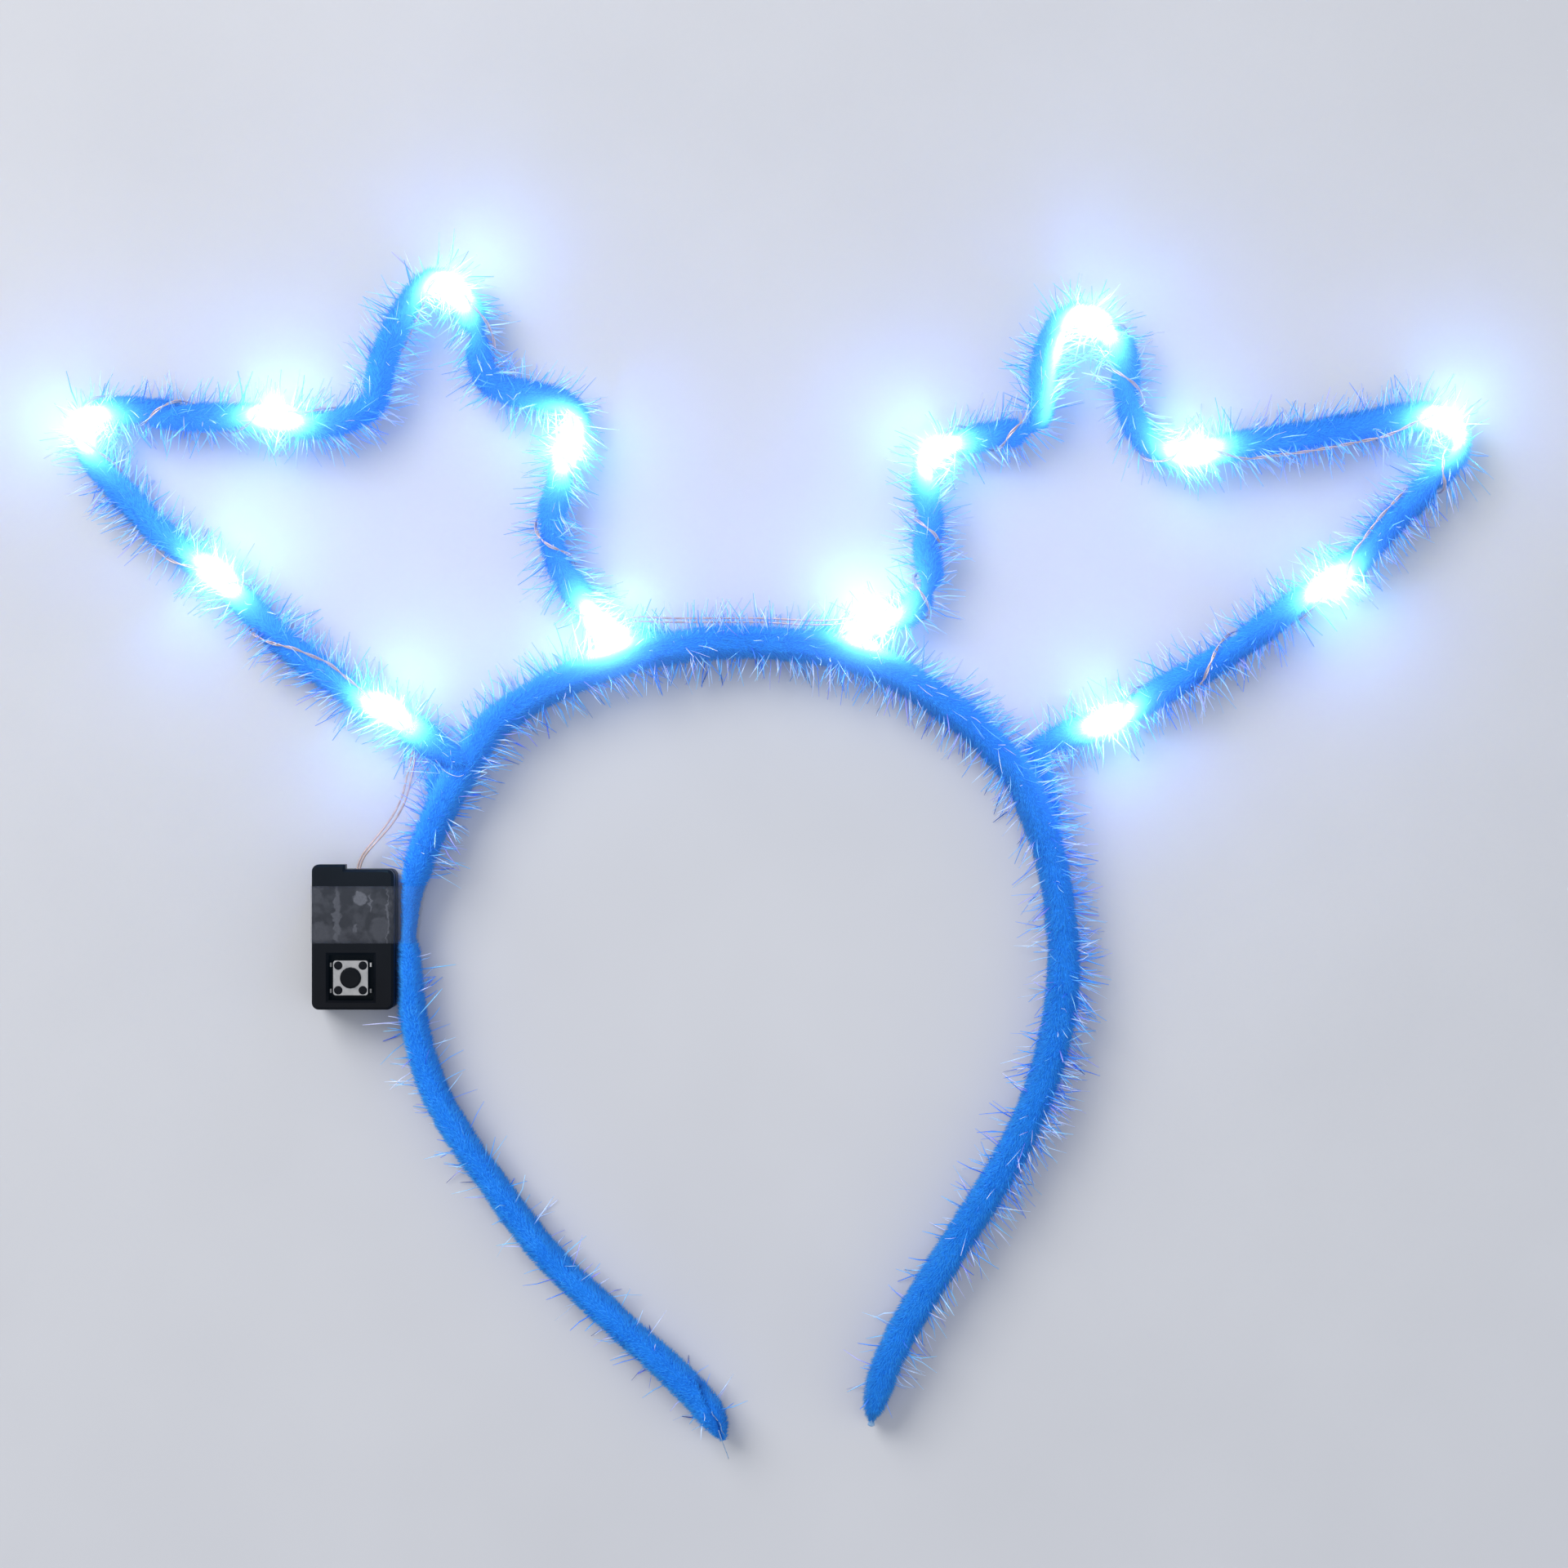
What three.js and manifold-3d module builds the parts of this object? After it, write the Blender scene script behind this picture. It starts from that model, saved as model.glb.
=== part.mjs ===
// Reindeer antler headband that lights up: a plush-covered band, two antlers bent from chenille
// stem, a string of small lights wound round them, and a battery box taped to the band.
// Millimetres, +Z up. It lies flat: +X to its right, +Y from the tips of the band to the crown.

import * as THREE from 'three';
import { mergeVertices } from 'three/addons/utils/BufferGeometryUtils.js';
import Module from 'manifold-3d';

const wasm = await Module();
wasm.setup();

// Sizes of the band
const BAND_WIDTH = 113.6;        // between the middles of its two sides
const BAND_HEIGHT = 139.6;       // from the longer tip to the middle of the crown
const BAND_THICKNESS = 5.7;      // seen from the front, with its pile
const BAND_DEPTH = 8.6;          // front to back, with its pile
const BAND_SIDES = 12;
const BAND_SQUARENESS = 2.8;     // power of the section's rounded oblong, 2 is an ellipse

// Sizes of the antlers
const STEM_DIAMETER = 5.4;
const STEM_SIDES = 8;
const STEM_STRAY = 1.2;          // how far the stems stray upwards from lying level
const LEFT_REACH = 79.5;         // from midway between an antler's feet to its outermost tip
const LEFT_RISE = 75.8;          // from midway between its feet to its top
const RIGHT_REACH = 91;
const RIGHT_RISE = 69.4;
const SEAT_GAP = 0.3;            // between two pieces that lie against each other

// Sizes of the light string
const BEAD_DIAMETER = 2.9;
const BEAD_LENGTH = 4.4;
const BEAD_SIDES = 8;
const TWIN_DIAMETER = 0.7;       // the two strands laid together
const STRAND_DIAMETER = 0.4;
const WIRE_SIDES = 5;
const WINDING_STEP = 1.2;        // between the points that guide the wire round a stem
const TWIN_STEP = 2;             // length of one straight piece of the twin wire
const LEAD_STEP = 2;             // the same of a lead strand
const CROWN_STEP = 3;            // the same of a strand over the crown
const FLOOR_GAP = 0.3;           // under the wire where it passes below a stem
const BEAD_APPROACH = 3;         // length over which the wire rises to a bead
const LEAD_BOW = 4.6;            // how far the lead bows towards the band
const CROWN_SLACK = 4.4;         // how high the wire starts over the crown

// Sizes of the battery box
const CASE_WIDTH = 14.2;
const CASE_HEIGHT = 24.3;        // along the band
const CASE_DEPTH = 9;
const CASE_CORNER = 1.2;
const CASE_BEVEL = 0.45;
const BACK_DEPTH = 5.2;          // of the half that the cover closes
const PART_GAP = 0.2;            // the parting line
const TONGUE_WIDTH = 5.8;        // of the cover's tongue, over its upper edge
const TONGUE_REACH = 0.85;
const CASE_UP = 0.630;           // middle of the box, as a share of the band's height
const LEAD_ASIDE = 0.4;          // of the lead's hole from the middle of the box
const LEAD_ROOT = 1.2;           // length of the strands inside their hole

// Sizes of the tape
const TAPE_WIDTH = 9.9;
const TAPE_FILM = 0.2;
const TAPE_GAP = 0.15;
const TAPE_OFFSET = 4.3;         // above the middle of the box

// Sizes of the push switch
const SWITCH_SIZE = 6;
const SWITCH_DROP = 6.6;         // below the middle of the box
const SWITCH_ASIDE = -0.3;
const PLATE_THICKNESS = 0.3;
const PLATE_CORNER = 0.45;
const PLATE_PROUD = 0.45;        // of the plate's face over the cover
const PEG_DIAMETER = 1.3;
const PEG_INSET = 0.22;          // from the plate's edge to a peg
const PEG_PROUD = 0.15;
const BUTTON_DIAMETER = 3.5;
const BUTTON_PROUD = 1;          // over the plate
const BUTTON_CHAMFER = 0.2;
const BUTTON_FLANGE = 0.3;       // width of the rim that keeps it under the plate
const FLANGE_THICKNESS = 0.5;
const BUTTON_TRAVEL = 0.25;
const RUNNING_GAP = 0.1;         // round the button and the pegs
const LEG_WIDTH = 0.7;
const LEG_THICKNESS = 0.3;
const LEG_SPREAD = 4.5;          // between the two legs of one side
const ROUND_SIDES = 16;
const LAP = 0.5;                 // by which joined or cut shapes run into one another

// The four corners of a square, to the right and up
const CORNERS = [
  { right: -1, up: -1 },
  { right: 1, up: -1 },
  { right: 1, up: 1 },
  { right: -1, up: 1 },
];

// Route of the band, from its left tip over the crown to its right tip.
// across: share of the width, from the middle. up: share of the height, from the left tip.
// thick, deep: shares of the section. pinch: share of the lift that the tape gives it.
const BAND_ROWS = [
  { across: -0.019, up: 0.000, thick: 0.40, deep: 0.62, pinch: 0 },
  { across: -0.026, up: 0.012, thick: 0.66, deep: 0.80, pinch: 0 },
  { across: -0.041, up: 0.036, thick: 0.92, deep: 0.96, pinch: 0 },
  { across: -0.075, up: 0.070, thick: 0.97, deep: 1.00, pinch: 0 },
  { across: -0.143, up: 0.121, thick: 0.92, deep: 1.00, pinch: 0 },
  { across: -0.278, up: 0.223, thick: 0.88, deep: 1.00, pinch: 0 },
  { across: -0.376, up: 0.325, thick: 0.88, deep: 1.00, pinch: 0 },
  { across: -0.457, up: 0.426, thick: 0.90, deep: 1.00, pinch: 0 },
  { across: -0.497, up: 0.528, thick: 0.86, deep: 1.00, pinch: 0.2 },
  { across: -0.501, up: 0.574, thick: 0.78, deep: 0.98, pinch: 0.8 },
  { across: -0.503, up: 0.604, thick: 0.68, deep: 0.94, pinch: 1 },
  { across: -0.505, up: 0.630, thick: 0.54, deep: 0.92, pinch: 1 },
  { across: -0.501, up: 0.675, thick: 0.66, deep: 0.92, pinch: 1 },
  { across: -0.495, up: 0.703, thick: 0.82, deep: 0.95, pinch: 1 },
  { across: -0.483, up: 0.737, thick: 0.96, deep: 1.00, pinch: 0.4 },
  { across: -0.460, up: 0.782, thick: 1.00, deep: 1.00, pinch: 0 },
  { across: -0.426, up: 0.833, thick: 1.00, deep: 1.00, pinch: 0 },
  { across: -0.379, up: 0.893, thick: 1.00, deep: 1.00, pinch: 0 },
  { across: -0.316, up: 0.930, thick: 1.00, deep: 1.00, pinch: 0 },
  { across: -0.235, up: 0.963, thick: 1.00, deep: 1.00, pinch: 0 },
  { across: -0.129, up: 0.989, thick: 1.00, deep: 1.00, pinch: 0 },
  { across: -0.004, up: 1.000, thick: 1.03, deep: 1.00, pinch: 0 },
  { across: 0.121, up: 0.993, thick: 1.03, deep: 1.00, pinch: 0 },
  { across: 0.221, up: 0.970, thick: 1.02, deep: 1.00, pinch: 0 },
  { across: 0.321, up: 0.920, thick: 1.00, deep: 1.00, pinch: 0 },
  { across: 0.390, up: 0.872, thick: 1.00, deep: 1.00, pinch: 0 },
  { across: 0.431, up: 0.833, thick: 1.00, deep: 1.00, pinch: 0 },
  { across: 0.459, up: 0.782, thick: 1.00, deep: 1.00, pinch: 0 },
  { across: 0.481, up: 0.731, thick: 0.97, deep: 1.00, pinch: 0 },
  { across: 0.496, up: 0.655, thick: 0.97, deep: 1.00, pinch: 0 },
  { across: 0.500, up: 0.579, thick: 1.02, deep: 1.00, pinch: 0 },
  { across: 0.478, up: 0.477, thick: 1.00, deep: 1.00, pinch: 0 },
  { across: 0.428, up: 0.375, thick: 1.00, deep: 1.00, pinch: 0 },
  { across: 0.354, up: 0.274, thick: 0.97, deep: 1.00, pinch: 0 },
  { across: 0.276, up: 0.172, thick: 0.97, deep: 1.00, pinch: 0 },
  { across: 0.241, up: 0.121, thick: 0.95, deep: 1.00, pinch: 0 },
  { across: 0.217, up: 0.070, thick: 0.88, deep: 0.95, pinch: 0 },
  { across: 0.208, up: 0.040, thick: 0.66, deep: 0.85, pinch: 0 },
  { across: 0.206, up: 0.025, thick: 0.40, deep: 0.62, pinch: 0 },
];

// Feet of the antlers: where a stem meets the band, turns and lies along it to its cut end.
// across: place on the band, as a share of its width. toward: which way the end lies, 1 is to
// the band's right tip. length: of that end. angle, bead: as in the rows of a stem.
const FEET = {
  leftOuter: { across: -0.416, toward: -1, length: 7.5 },
  leftInner: { across: -0.194, toward: 1, length: 8, angle: -2790, bead: true },
  rightInner: { across: 0.192, toward: -1, length: 8, angle: 73, bead: true },
  rightOuter: { across: 0.421, toward: 1, length: 11 },
};

// Taper of a stem's end along the band. along: share of its length. girth: of the stem's.
// aside: share of the stem's thickness that it still has to go to the band.
const FOOT_ROWS = [
  { along: 0.04, girth: 0.82, aside: 0.24 },
  { along: 0.34, girth: 0.68, aside: 0.00 },
  { along: 0.68, girth: 0.50, aside: 0.00 },
  { along: 1.00, girth: 0.30, aside: 0.00 },
];

// Free part of each stem. out, up: shares of the antler's reach and rise, from midway between
// its feet. stray: share of the stray. girth: of the stem's. angle: where the wire lies round
// the stem, in degrees, 0 outside the loop and 90 in front. bead: a light sits there.
const LEFT_ROWS = [
  { out: 0.270, up: -0.045, stray: 0.0, girth: 0.98, angle: 40 },
  { out: 0.329, up: 0.008, stray: 0.1, girth: 1.02, angle: 90, bead: true },
  { out: 0.404, up: 0.043, stray: 0.2, girth: 1.00, angle: 130 },
  { out: 0.471, up: 0.094, stray: 0.2, girth: 0.98, angle: 140 },
  { out: 0.541, up: 0.146, stray: 0.3, girth: 0.98, angle: 100 },
  { out: 0.605, up: 0.208, stray: 0.4, girth: 1.00, angle: 10 },
  { out: 0.698, up: 0.316, stray: 0.4, girth: 1.00, angle: -270, bead: true },
  { out: 0.770, up: 0.362, stray: 0.4, girth: 1.00 },
  { out: 0.830, up: 0.414, stray: 0.3, girth: 1.02 },
  { out: 0.868, up: 0.455, stray: 0.3, girth: 1.02 },
  { out: 0.914, up: 0.509, stray: 0.2, girth: 1.00 },
  { out: 0.963, up: 0.567, stray: 0.1, girth: 0.96 },
  { out: 0.991, up: 0.616, stray: 0.0, girth: 0.92 },
  { out: 1.000, up: 0.661, stray: 0.0, girth: 0.88, angle: -630, bead: true },
  { out: 0.980, up: 0.693, stray: 0.1, girth: 0.88 },
  { out: 0.936, up: 0.699, stray: 0.2, girth: 0.94 },
  { out: 0.834, up: 0.691, stray: 0.4, girth: 1.00, angle: -990 },
  { out: 0.739, up: 0.680, stray: 0.5, girth: 1.00 },
  { out: 0.575, up: 0.678, stray: 0.6, girth: 1.02, angle: -1363, bead: true },
  { out: 0.500, up: 0.665, stray: 0.6, girth: 1.02 },
  { out: 0.420, up: 0.676, stray: 0.5, girth: 1.00 },
  { out: 0.373, up: 0.700, stray: 0.5, girth: 0.94 },
  { out: 0.355, up: 0.728, stray: 0.5, girth: 0.94, angle: -1540 },
  { out: 0.346, up: 0.792, stray: 0.6, girth: 1.00 },
  { out: 0.313, up: 0.876, stray: 0.7, girth: 1.00, angle: -1610 },
  { out: 0.275, up: 0.951, stray: 0.8, girth: 0.94, angle: -1640 },
  { out: 0.234, up: 0.994, stray: 0.9, girth: 0.88 },
  { out: 0.184, up: 0.978, stray: 1.0, girth: 0.90, angle: -1710, bead: true },
  { out: 0.145, up: 0.910, stray: 0.9, girth: 0.98 },
  { out: 0.130, up: 0.860, stray: 0.8, girth: 1.00 },
  { out: 0.125, up: 0.801, stray: 0.7, girth: 0.98 },
  { out: 0.098, up: 0.753, stray: 0.6, girth: 0.96 },
  { out: 0.039, up: 0.736, stray: 0.6, girth: 1.00 },
  { out: -0.030, up: 0.719, stray: 0.6, girth: 0.98 },
  { out: -0.073, up: 0.702, stray: 0.6, girth: 0.90 },
  { out: -0.088, up: 0.670, stray: 0.6, girth: 0.88 },
  { out: -0.066, up: 0.616, stray: 0.5, girth: 0.96, angle: -2070, bead: true },
  { out: -0.043, up: 0.511, stray: 0.4, girth: 1.00 },
  { out: -0.025, up: 0.446, stray: 0.3, girth: 1.00 },
  { out: -0.032, up: 0.380, stray: 0.2, girth: 1.00, angle: -2430 },
  { out: -0.061, up: 0.315, stray: 0.1, girth: 1.00 },
  { out: -0.089, up: 0.262, stray: 0.0, girth: 1.00 },
];

const RIGHT_ROWS = [
  { out: -0.055, up: 0.249, stray: 0.0, girth: 1.00 },
  { out: -0.027, up: 0.290, stray: 0.1, girth: 1.00, angle: -270 },
  { out: -0.015, up: 0.353, stray: 0.2, girth: 1.00 },
  { out: -0.020, up: 0.415, stray: 0.3, girth: 0.98 },
  { out: -0.015, up: 0.458, stray: 0.3, girth: 1.00, angle: -630 },
  { out: -0.020, up: 0.548, stray: 0.4, girth: 1.00 },
  { out: -0.023, up: 0.609, stray: 0.4, girth: 0.94 },
  { out: -0.010, up: 0.656, stray: 0.5, girth: 0.90, angle: -990, bead: true },
  { out: 0.026, up: 0.681, stray: 0.5, girth: 0.94 },
  { out: 0.077, up: 0.689, stray: 0.6, girth: 1.00 },
  { out: 0.138, up: 0.701, stray: 0.6, girth: 1.00, angle: -1350 },
  { out: 0.174, up: 0.714, stray: 0.6, girth: 0.94 },
  { out: 0.196, up: 0.746, stray: 0.7, girth: 0.92 },
  { out: 0.201, up: 0.830, stray: 0.8, girth: 1.00 },
  { out: 0.212, up: 0.910, stray: 0.9, girth: 1.00 },
  { out: 0.232, up: 0.969, stray: 1.0, girth: 0.92 },
  { out: 0.262, up: 1.000, stray: 1.0, girth: 0.88 },
  { out: 0.297, up: 0.988, stray: 1.0, girth: 0.92, angle: -1700, bead: true },
  { out: 0.333, up: 0.951, stray: 0.9, girth: 0.98 },
  { out: 0.354, up: 0.910, stray: 0.8, girth: 1.00 },
  { out: 0.361, up: 0.838, stray: 0.7, girth: 1.00, angle: -2070 },
  { out: 0.374, up: 0.740, stray: 0.6, girth: 0.98 },
  { out: 0.396, up: 0.685, stray: 0.6, girth: 0.96 },
  { out: 0.435, up: 0.652, stray: 0.5, girth: 0.98 },
  { out: 0.488, up: 0.648, stray: 0.5, girth: 1.00, angle: -2440, bead: true },
  { out: 0.594, up: 0.675, stray: 0.4, girth: 1.02, angle: -2345 },
  { out: 0.714, up: 0.697, stray: 0.3, girth: 1.04, angle: -2340 },
  { out: 0.833, up: 0.726, stray: 0.2, girth: 1.02, angle: -2345 },
  { out: 0.924, up: 0.746, stray: 0.1, girth: 0.98 },
  { out: 0.976, up: 0.733, stray: 0.1, girth: 0.90, angle: -2430, bead: true },
  { out: 1.000, up: 0.683, stray: 0.1, girth: 0.88, angle: -2350 },
  { out: 0.988, up: 0.632, stray: 0.1, girth: 0.90, angle: -2352 },
  { out: 0.966, up: 0.603, stray: 0.2, girth: 0.94, angle: -2420 },
  { out: 0.911, up: 0.533, stray: 0.2, girth: 1.00, angle: -2725 },
  { out: 0.858, up: 0.464, stray: 0.2, girth: 1.02 },
  { out: 0.810, up: 0.392, stray: 0.3, girth: 1.00, angle: -2750 },
  { out: 0.744, up: 0.329, stray: 0.3, girth: 1.00, angle: -2811, bead: true },
  { out: 0.691, up: 0.275, stray: 0.3, girth: 1.00 },
  { out: 0.632, up: 0.220, stray: 0.3, girth: 1.00 },
  { out: 0.571, up: 0.165, stray: 0.2, girth: 0.98 },
  { out: 0.518, up: 0.118, stray: 0.2, girth: 1.00, angle: -3150 },
  { out: 0.463, up: 0.079, stray: 0.1, girth: 1.02 },
  { out: 0.397, up: 0.032, stray: 0.1, girth: 1.00 },
  { out: 0.329, up: -0.019, stray: 0.0, girth: 1.00, angle: -3510, bead: true },
  { out: 0.275, up: -0.046, stray: 0.0, girth: 0.98 },
];

// The lead's two strands from the box to the stem. along: share of the way. a, b: shares of the
// bow of each strand.
const LEAD_ROWS = [
  { along: 0.20, a: 0.35, b: 0.52 },
  { along: 0.42, a: 0.69, b: 0.94 },
  { along: 0.60, a: 0.69, b: 0.92 },
  { along: 0.78, a: 0.46, b: 0.74 },
];

// The two strands over the crown. along: share of the way from the last light of the left
// antler to the first of the right. a, b: heights over the band, as shares of the slack.
// front: how far forward, from the middle of the band to the lights.
const CROWN_ROWS = [
  { along: 0.10, a: 0.84, b: 0.64, front: 0.95 },
  { along: 0.25, a: 0.50, b: 0.34, front: 0.75 },
  { along: 0.42, a: 0.30, b: 0.14, front: 0.40 },
  { along: 0.60, a: 0.28, b: 0.12, front: 0.30 },
  { along: 0.76, a: 0.34, b: 0.16, front: 0.60 },
  { along: 0.90, a: 0.62, b: 0.44, front: 0.92 },
];

const PLUSH = { color: 0x348ecd, roughness: 0.95 };
const CLEAR = { color: 0xd9f3ff, roughness: 0.15, transparent: true, opacity: 0.7 };
const COPPER = { color: 0xc98a6e, roughness: 0.35, metalness: 0.9 };
const BLACK_PLASTIC = { color: 0x17171b, roughness: 0.45 };
const FILM = { color: 0xc8d2e6, roughness: 0.2, transparent: true, opacity: 0.35 };
const TIN = { color: 0xd5d8dc, roughness: 0.3, metalness: 1 };

const UP = new THREE.Vector3(0, 0, 1);
const TAPE_LIFT = TAPE_GAP + TAPE_FILM;
const STEM_LEVEL = FLOOR_GAP + TWIN_DIAMETER + SEAT_GAP + STEM_DIAMETER / 2;
const group = new THREE.Group();

// Adds a piece under its node name.
function addPiece(name, geometry, look) {
  const mesh = new THREE.Mesh(geometry, new THREE.MeshStandardMaterial(look));
  mesh.name = name;
  group.add(mesh);
  return mesh;
}

// Six times the volume that a geometry's triangles close in.
function signedVolume(geometry) {
  const flat = geometry.index ? geometry.toNonIndexed() : geometry;
  const position = flat.getAttribute('position');
  const corners = [new THREE.Vector3(), new THREE.Vector3(), new THREE.Vector3()];
  let sum = 0;
  for (let i = 0; i < position.count; i += 3) {
    corners.forEach((corner, k) => corner.fromBufferAttribute(position, i + k));
    sum += corners[0].dot(corners[1].clone().cross(corners[2]));
  }
  return sum;
}

// Merges a geometry's shared vertices and turns its faces outwards.
function closeUp(geometry) {
  const bare = new THREE.BufferGeometry();
  bare.setAttribute('position', geometry.getAttribute('position'));
  if (geometry.index) {
    bare.setIndex(geometry.index);
  }
  const merged = mergeVertices(bare, 1e-4);
  if (signedVolume(merged) < 0) {
    const index = merged.index;
    for (let i = 0; i < index.count; i += 3) {
      const first = index.getX(i);
      index.setX(i, index.getX(i + 1));
      index.setX(i + 1, first);
    }
  }
  merged.computeVertexNormals();
  return merged;
}

// Skins a row of rings, each a list of points in the same order, and closes both ends.
function loft(rings) {
  const points = rings.flat();
  const sides = rings[0].length;
  const index = [];
  for (let ring = 0; ring < rings.length - 1; ring += 1) {
    for (let side = 0; side < sides; side += 1) {
      const a = ring * sides + side;
      const b = ring * sides + (side + 1) % sides;
      index.push(a, b, a + sides, b, b + sides, a + sides);
    }
  }
  const ends = [rings[0], rings[rings.length - 1]];
  ends.forEach((ring, end) => {
    const middle = ring.reduce((sum, p) => sum.add(p), new THREE.Vector3()).divideScalar(sides);
    const first = end === 0 ? 0 : (rings.length - 1) * sides;
    points.push(middle);
    for (let side = 0; side < sides; side += 1) {
      const a = first + side;
      const b = first + (side + 1) % sides;
      index.push(points.length - 1, end === 0 ? b : a, end === 0 ? a : b);
    }
  });
  const geometry = new THREE.BufferGeometry().setFromPoints(points);
  geometry.setIndex(index);
  return closeUp(geometry);
}

// Interpolates a table's column at a place counted in rows.
function columnAt(rows, key, place) {
  const low = Math.min(Math.floor(place), rows.length - 2);
  return THREE.MathUtils.lerp(rows[low][key], rows[low + 1][key], place - low);
}

// A smooth route through the points of a table's rows, measured in rows and in millimetres.
class Route {
  constructor(rows, samplesPerRow = 12) {
    this.rows = rows;
    this.last = rows.length - 1;
    this.curve = new THREE.CatmullRomCurve3(rows.map((row) => row.point));
    this.samples = [];
    let length = 0;
    let before = rows[0].point;
    for (let i = 0; i <= this.last * samplesPerRow; i += 1) {
      const place = i / samplesPerRow;
      const point = this.pointAt(place);
      length += point.distanceTo(before);
      before = point;
      this.samples.push({ place, point, length });
    }
  }

  pointAt(place) {
    return this.curve.getPoint(THREE.MathUtils.clamp(place / this.last, 0, 1));
  }

  tangentAt(place) {
    return this.curve.getTangent(THREE.MathUtils.clamp(place / this.last, 0, 1));
  }

  // The side normal, which is level and to the left of the way the route runs.
  normalAt(place) {
    const tangent = this.tangentAt(place);
    return new THREE.Vector3(-tangent.y, tangent.x, 0).normalize();
  }

  // Where a measure of the samples passes a value, counted in rows.
  placeWhere(measure, value, from = 0, to = this.last) {
    const inside = this.samples.filter((s) => s.place >= from && s.place <= to);
    for (let i = 1; i < inside.length; i += 1) {
      const low = measure(inside[i - 1]);
      const high = measure(inside[i]);
      if ((low - value) * (high - value) <= 0 && low !== high) {
        const share = (value - low) / (high - low);
        return THREE.MathUtils.lerp(inside[i - 1].place, inside[i].place, share);
      }
    }
    return value < measure(inside[0]) ? from : to;
  }

  placeAtLength(length) {
    return this.placeWhere((sample) => sample.length, length);
  }

  lengthAt(place) {
    const sample = place * (this.samples.length - 1) / this.last;
    const low = Math.min(Math.floor(sample), this.samples.length - 2);
    const { samples } = this;
    return THREE.MathUtils.lerp(samples[low].length, samples[low + 1].length, sample - low);
  }

  column(key, place) {
    return columnAt(this.rows, key, place);
  }
}

// Places from one end of a route to the other, a few to each row.
function placesOf(route, perRow) {
  const places = [];
  for (let i = 0; i <= route.last * perRow; i += 1) {
    places.push(i / perRow);
  }
  return places;
}

// The band's route and section. The section is a rounded oblong whose lowest facet lies flat.
const bandRoute = new Route(BAND_ROWS.map((row) => ({
  ...row,
  point: new THREE.Vector3(row.across * BAND_WIDTH, row.up * BAND_HEIGHT, 0),
})));

function bandSection() {
  const corners = [];
  for (let side = 0; side < BAND_SIDES; side += 1) {
    const angle = (side + 0.5) * 2 * Math.PI / BAND_SIDES;
    const bend = (value) => Math.sign(value) * Math.abs(value) ** (2 / BAND_SQUARENESS);
    corners.push({ wide: bend(Math.cos(angle)), high: bend(Math.sin(angle)) });
  }
  const widest = Math.max(...corners.map((corner) => corner.wide));
  return corners.map(({ wide, high }) => ({ wide: wide / widest, high: high / widest }));
}

const SECTION = bandSection();

function bandRing(place) {
  const middle = bandRoute.pointAt(place);
  const normal = bandRoute.normalAt(place);
  const half = bandRoute.column('thick', place) * BAND_THICKNESS / 2;
  const depth = bandRoute.column('deep', place) * BAND_DEPTH;
  const lift = bandRoute.column('pinch', place) * TAPE_LIFT;
  return SECTION.map(({ wide, high }) => {
    const point = middle.clone().addScaledVector(normal, wide * half);
    point.z = lift + (high + 1) / 2 * depth;
    return point;
  });
}

function makeBand() {
  addPiece('headband', loft(placesOf(bandRoute, 2).map(bandRing)), PLUSH);
}

// A place on the band's upper part, between its widest rows, from a share of its width.
const ACROSS = BAND_ROWS.map((row) => row.across);
const WIDEST_LEFT = ACROSS.indexOf(Math.min(...ACROSS));
const WIDEST_RIGHT = ACROSS.indexOf(Math.max(...ACROSS));

function bandPlace(across) {
  const measure = (sample) => sample.point.x / BAND_WIDTH;
  return bandRoute.placeWhere(measure, across, WIDEST_LEFT, WIDEST_RIGHT);
}

// A point beside the band's outer face, a distance off it and at a height.
function besideBand(place, distance, height) {
  const half = bandRoute.column('thick', place) * BAND_THICKNESS / 2;
  const point = bandRoute.pointAt(place);
  point.addScaledVector(bandRoute.normalAt(place), half + distance);
  point.z = height;
  return point;
}

// Rows of a foot, from where the stem meets the band to its cut end.
function footRows(foot) {
  const corner = bandPlace(foot.across);
  const cornerLength = bandRoute.lengthAt(corner);
  return FOOT_ROWS.map(({ along, girth, aside }, i) => {
    const length = cornerLength + foot.toward * along * foot.length;
    const distance = SEAT_GAP + (girth / 2 + aside) * STEM_DIAMETER;
    return {
      point: besideBand(bandRoute.placeAtLength(length), distance, STEM_LEVEL),
      girth,
      angle: i === 0 ? foot.angle : undefined,
      bead: i === 0 && foot.bead,
    };
  });
}

// The route of an antler's stem, from its first foot to its last.
function antlerRoute(firstFoot, lastFoot, rows, outward, reach, rise) {
  const feet = [firstFoot, lastFoot].map((foot) => bandRoute.pointAt(bandPlace(foot.across)));
  const middle = feet[0].add(feet[1]).divideScalar(2);
  const free = rows.map((row) => ({
    ...row,
    point: new THREE.Vector3(
      middle.x + outward * row.out * reach,
      middle.y + row.up * rise,
      STEM_LEVEL + row.stray * STEM_STRAY,
    ),
  }));
  return new Route([...footRows(firstFoot).reverse(), ...free, ...footRows(lastFoot)]);
}

// Where something lies round a stem: at an angle and a distance from its middle.
function aroundStem(route, place, angle, distance) {
  const tangent = route.tangentAt(place);
  const normal = route.normalAt(place);
  const front = tangent.clone().cross(normal).normalize();
  const turn = THREE.MathUtils.degToRad(angle);
  return route.pointAt(place)
    .addScaledVector(normal, Math.cos(turn) * distance)
    .addScaledVector(front, Math.sin(turn) * distance);
}

function stemRadius(route, place) {
  return route.column('girth', place) * STEM_DIAMETER / 2;
}

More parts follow.
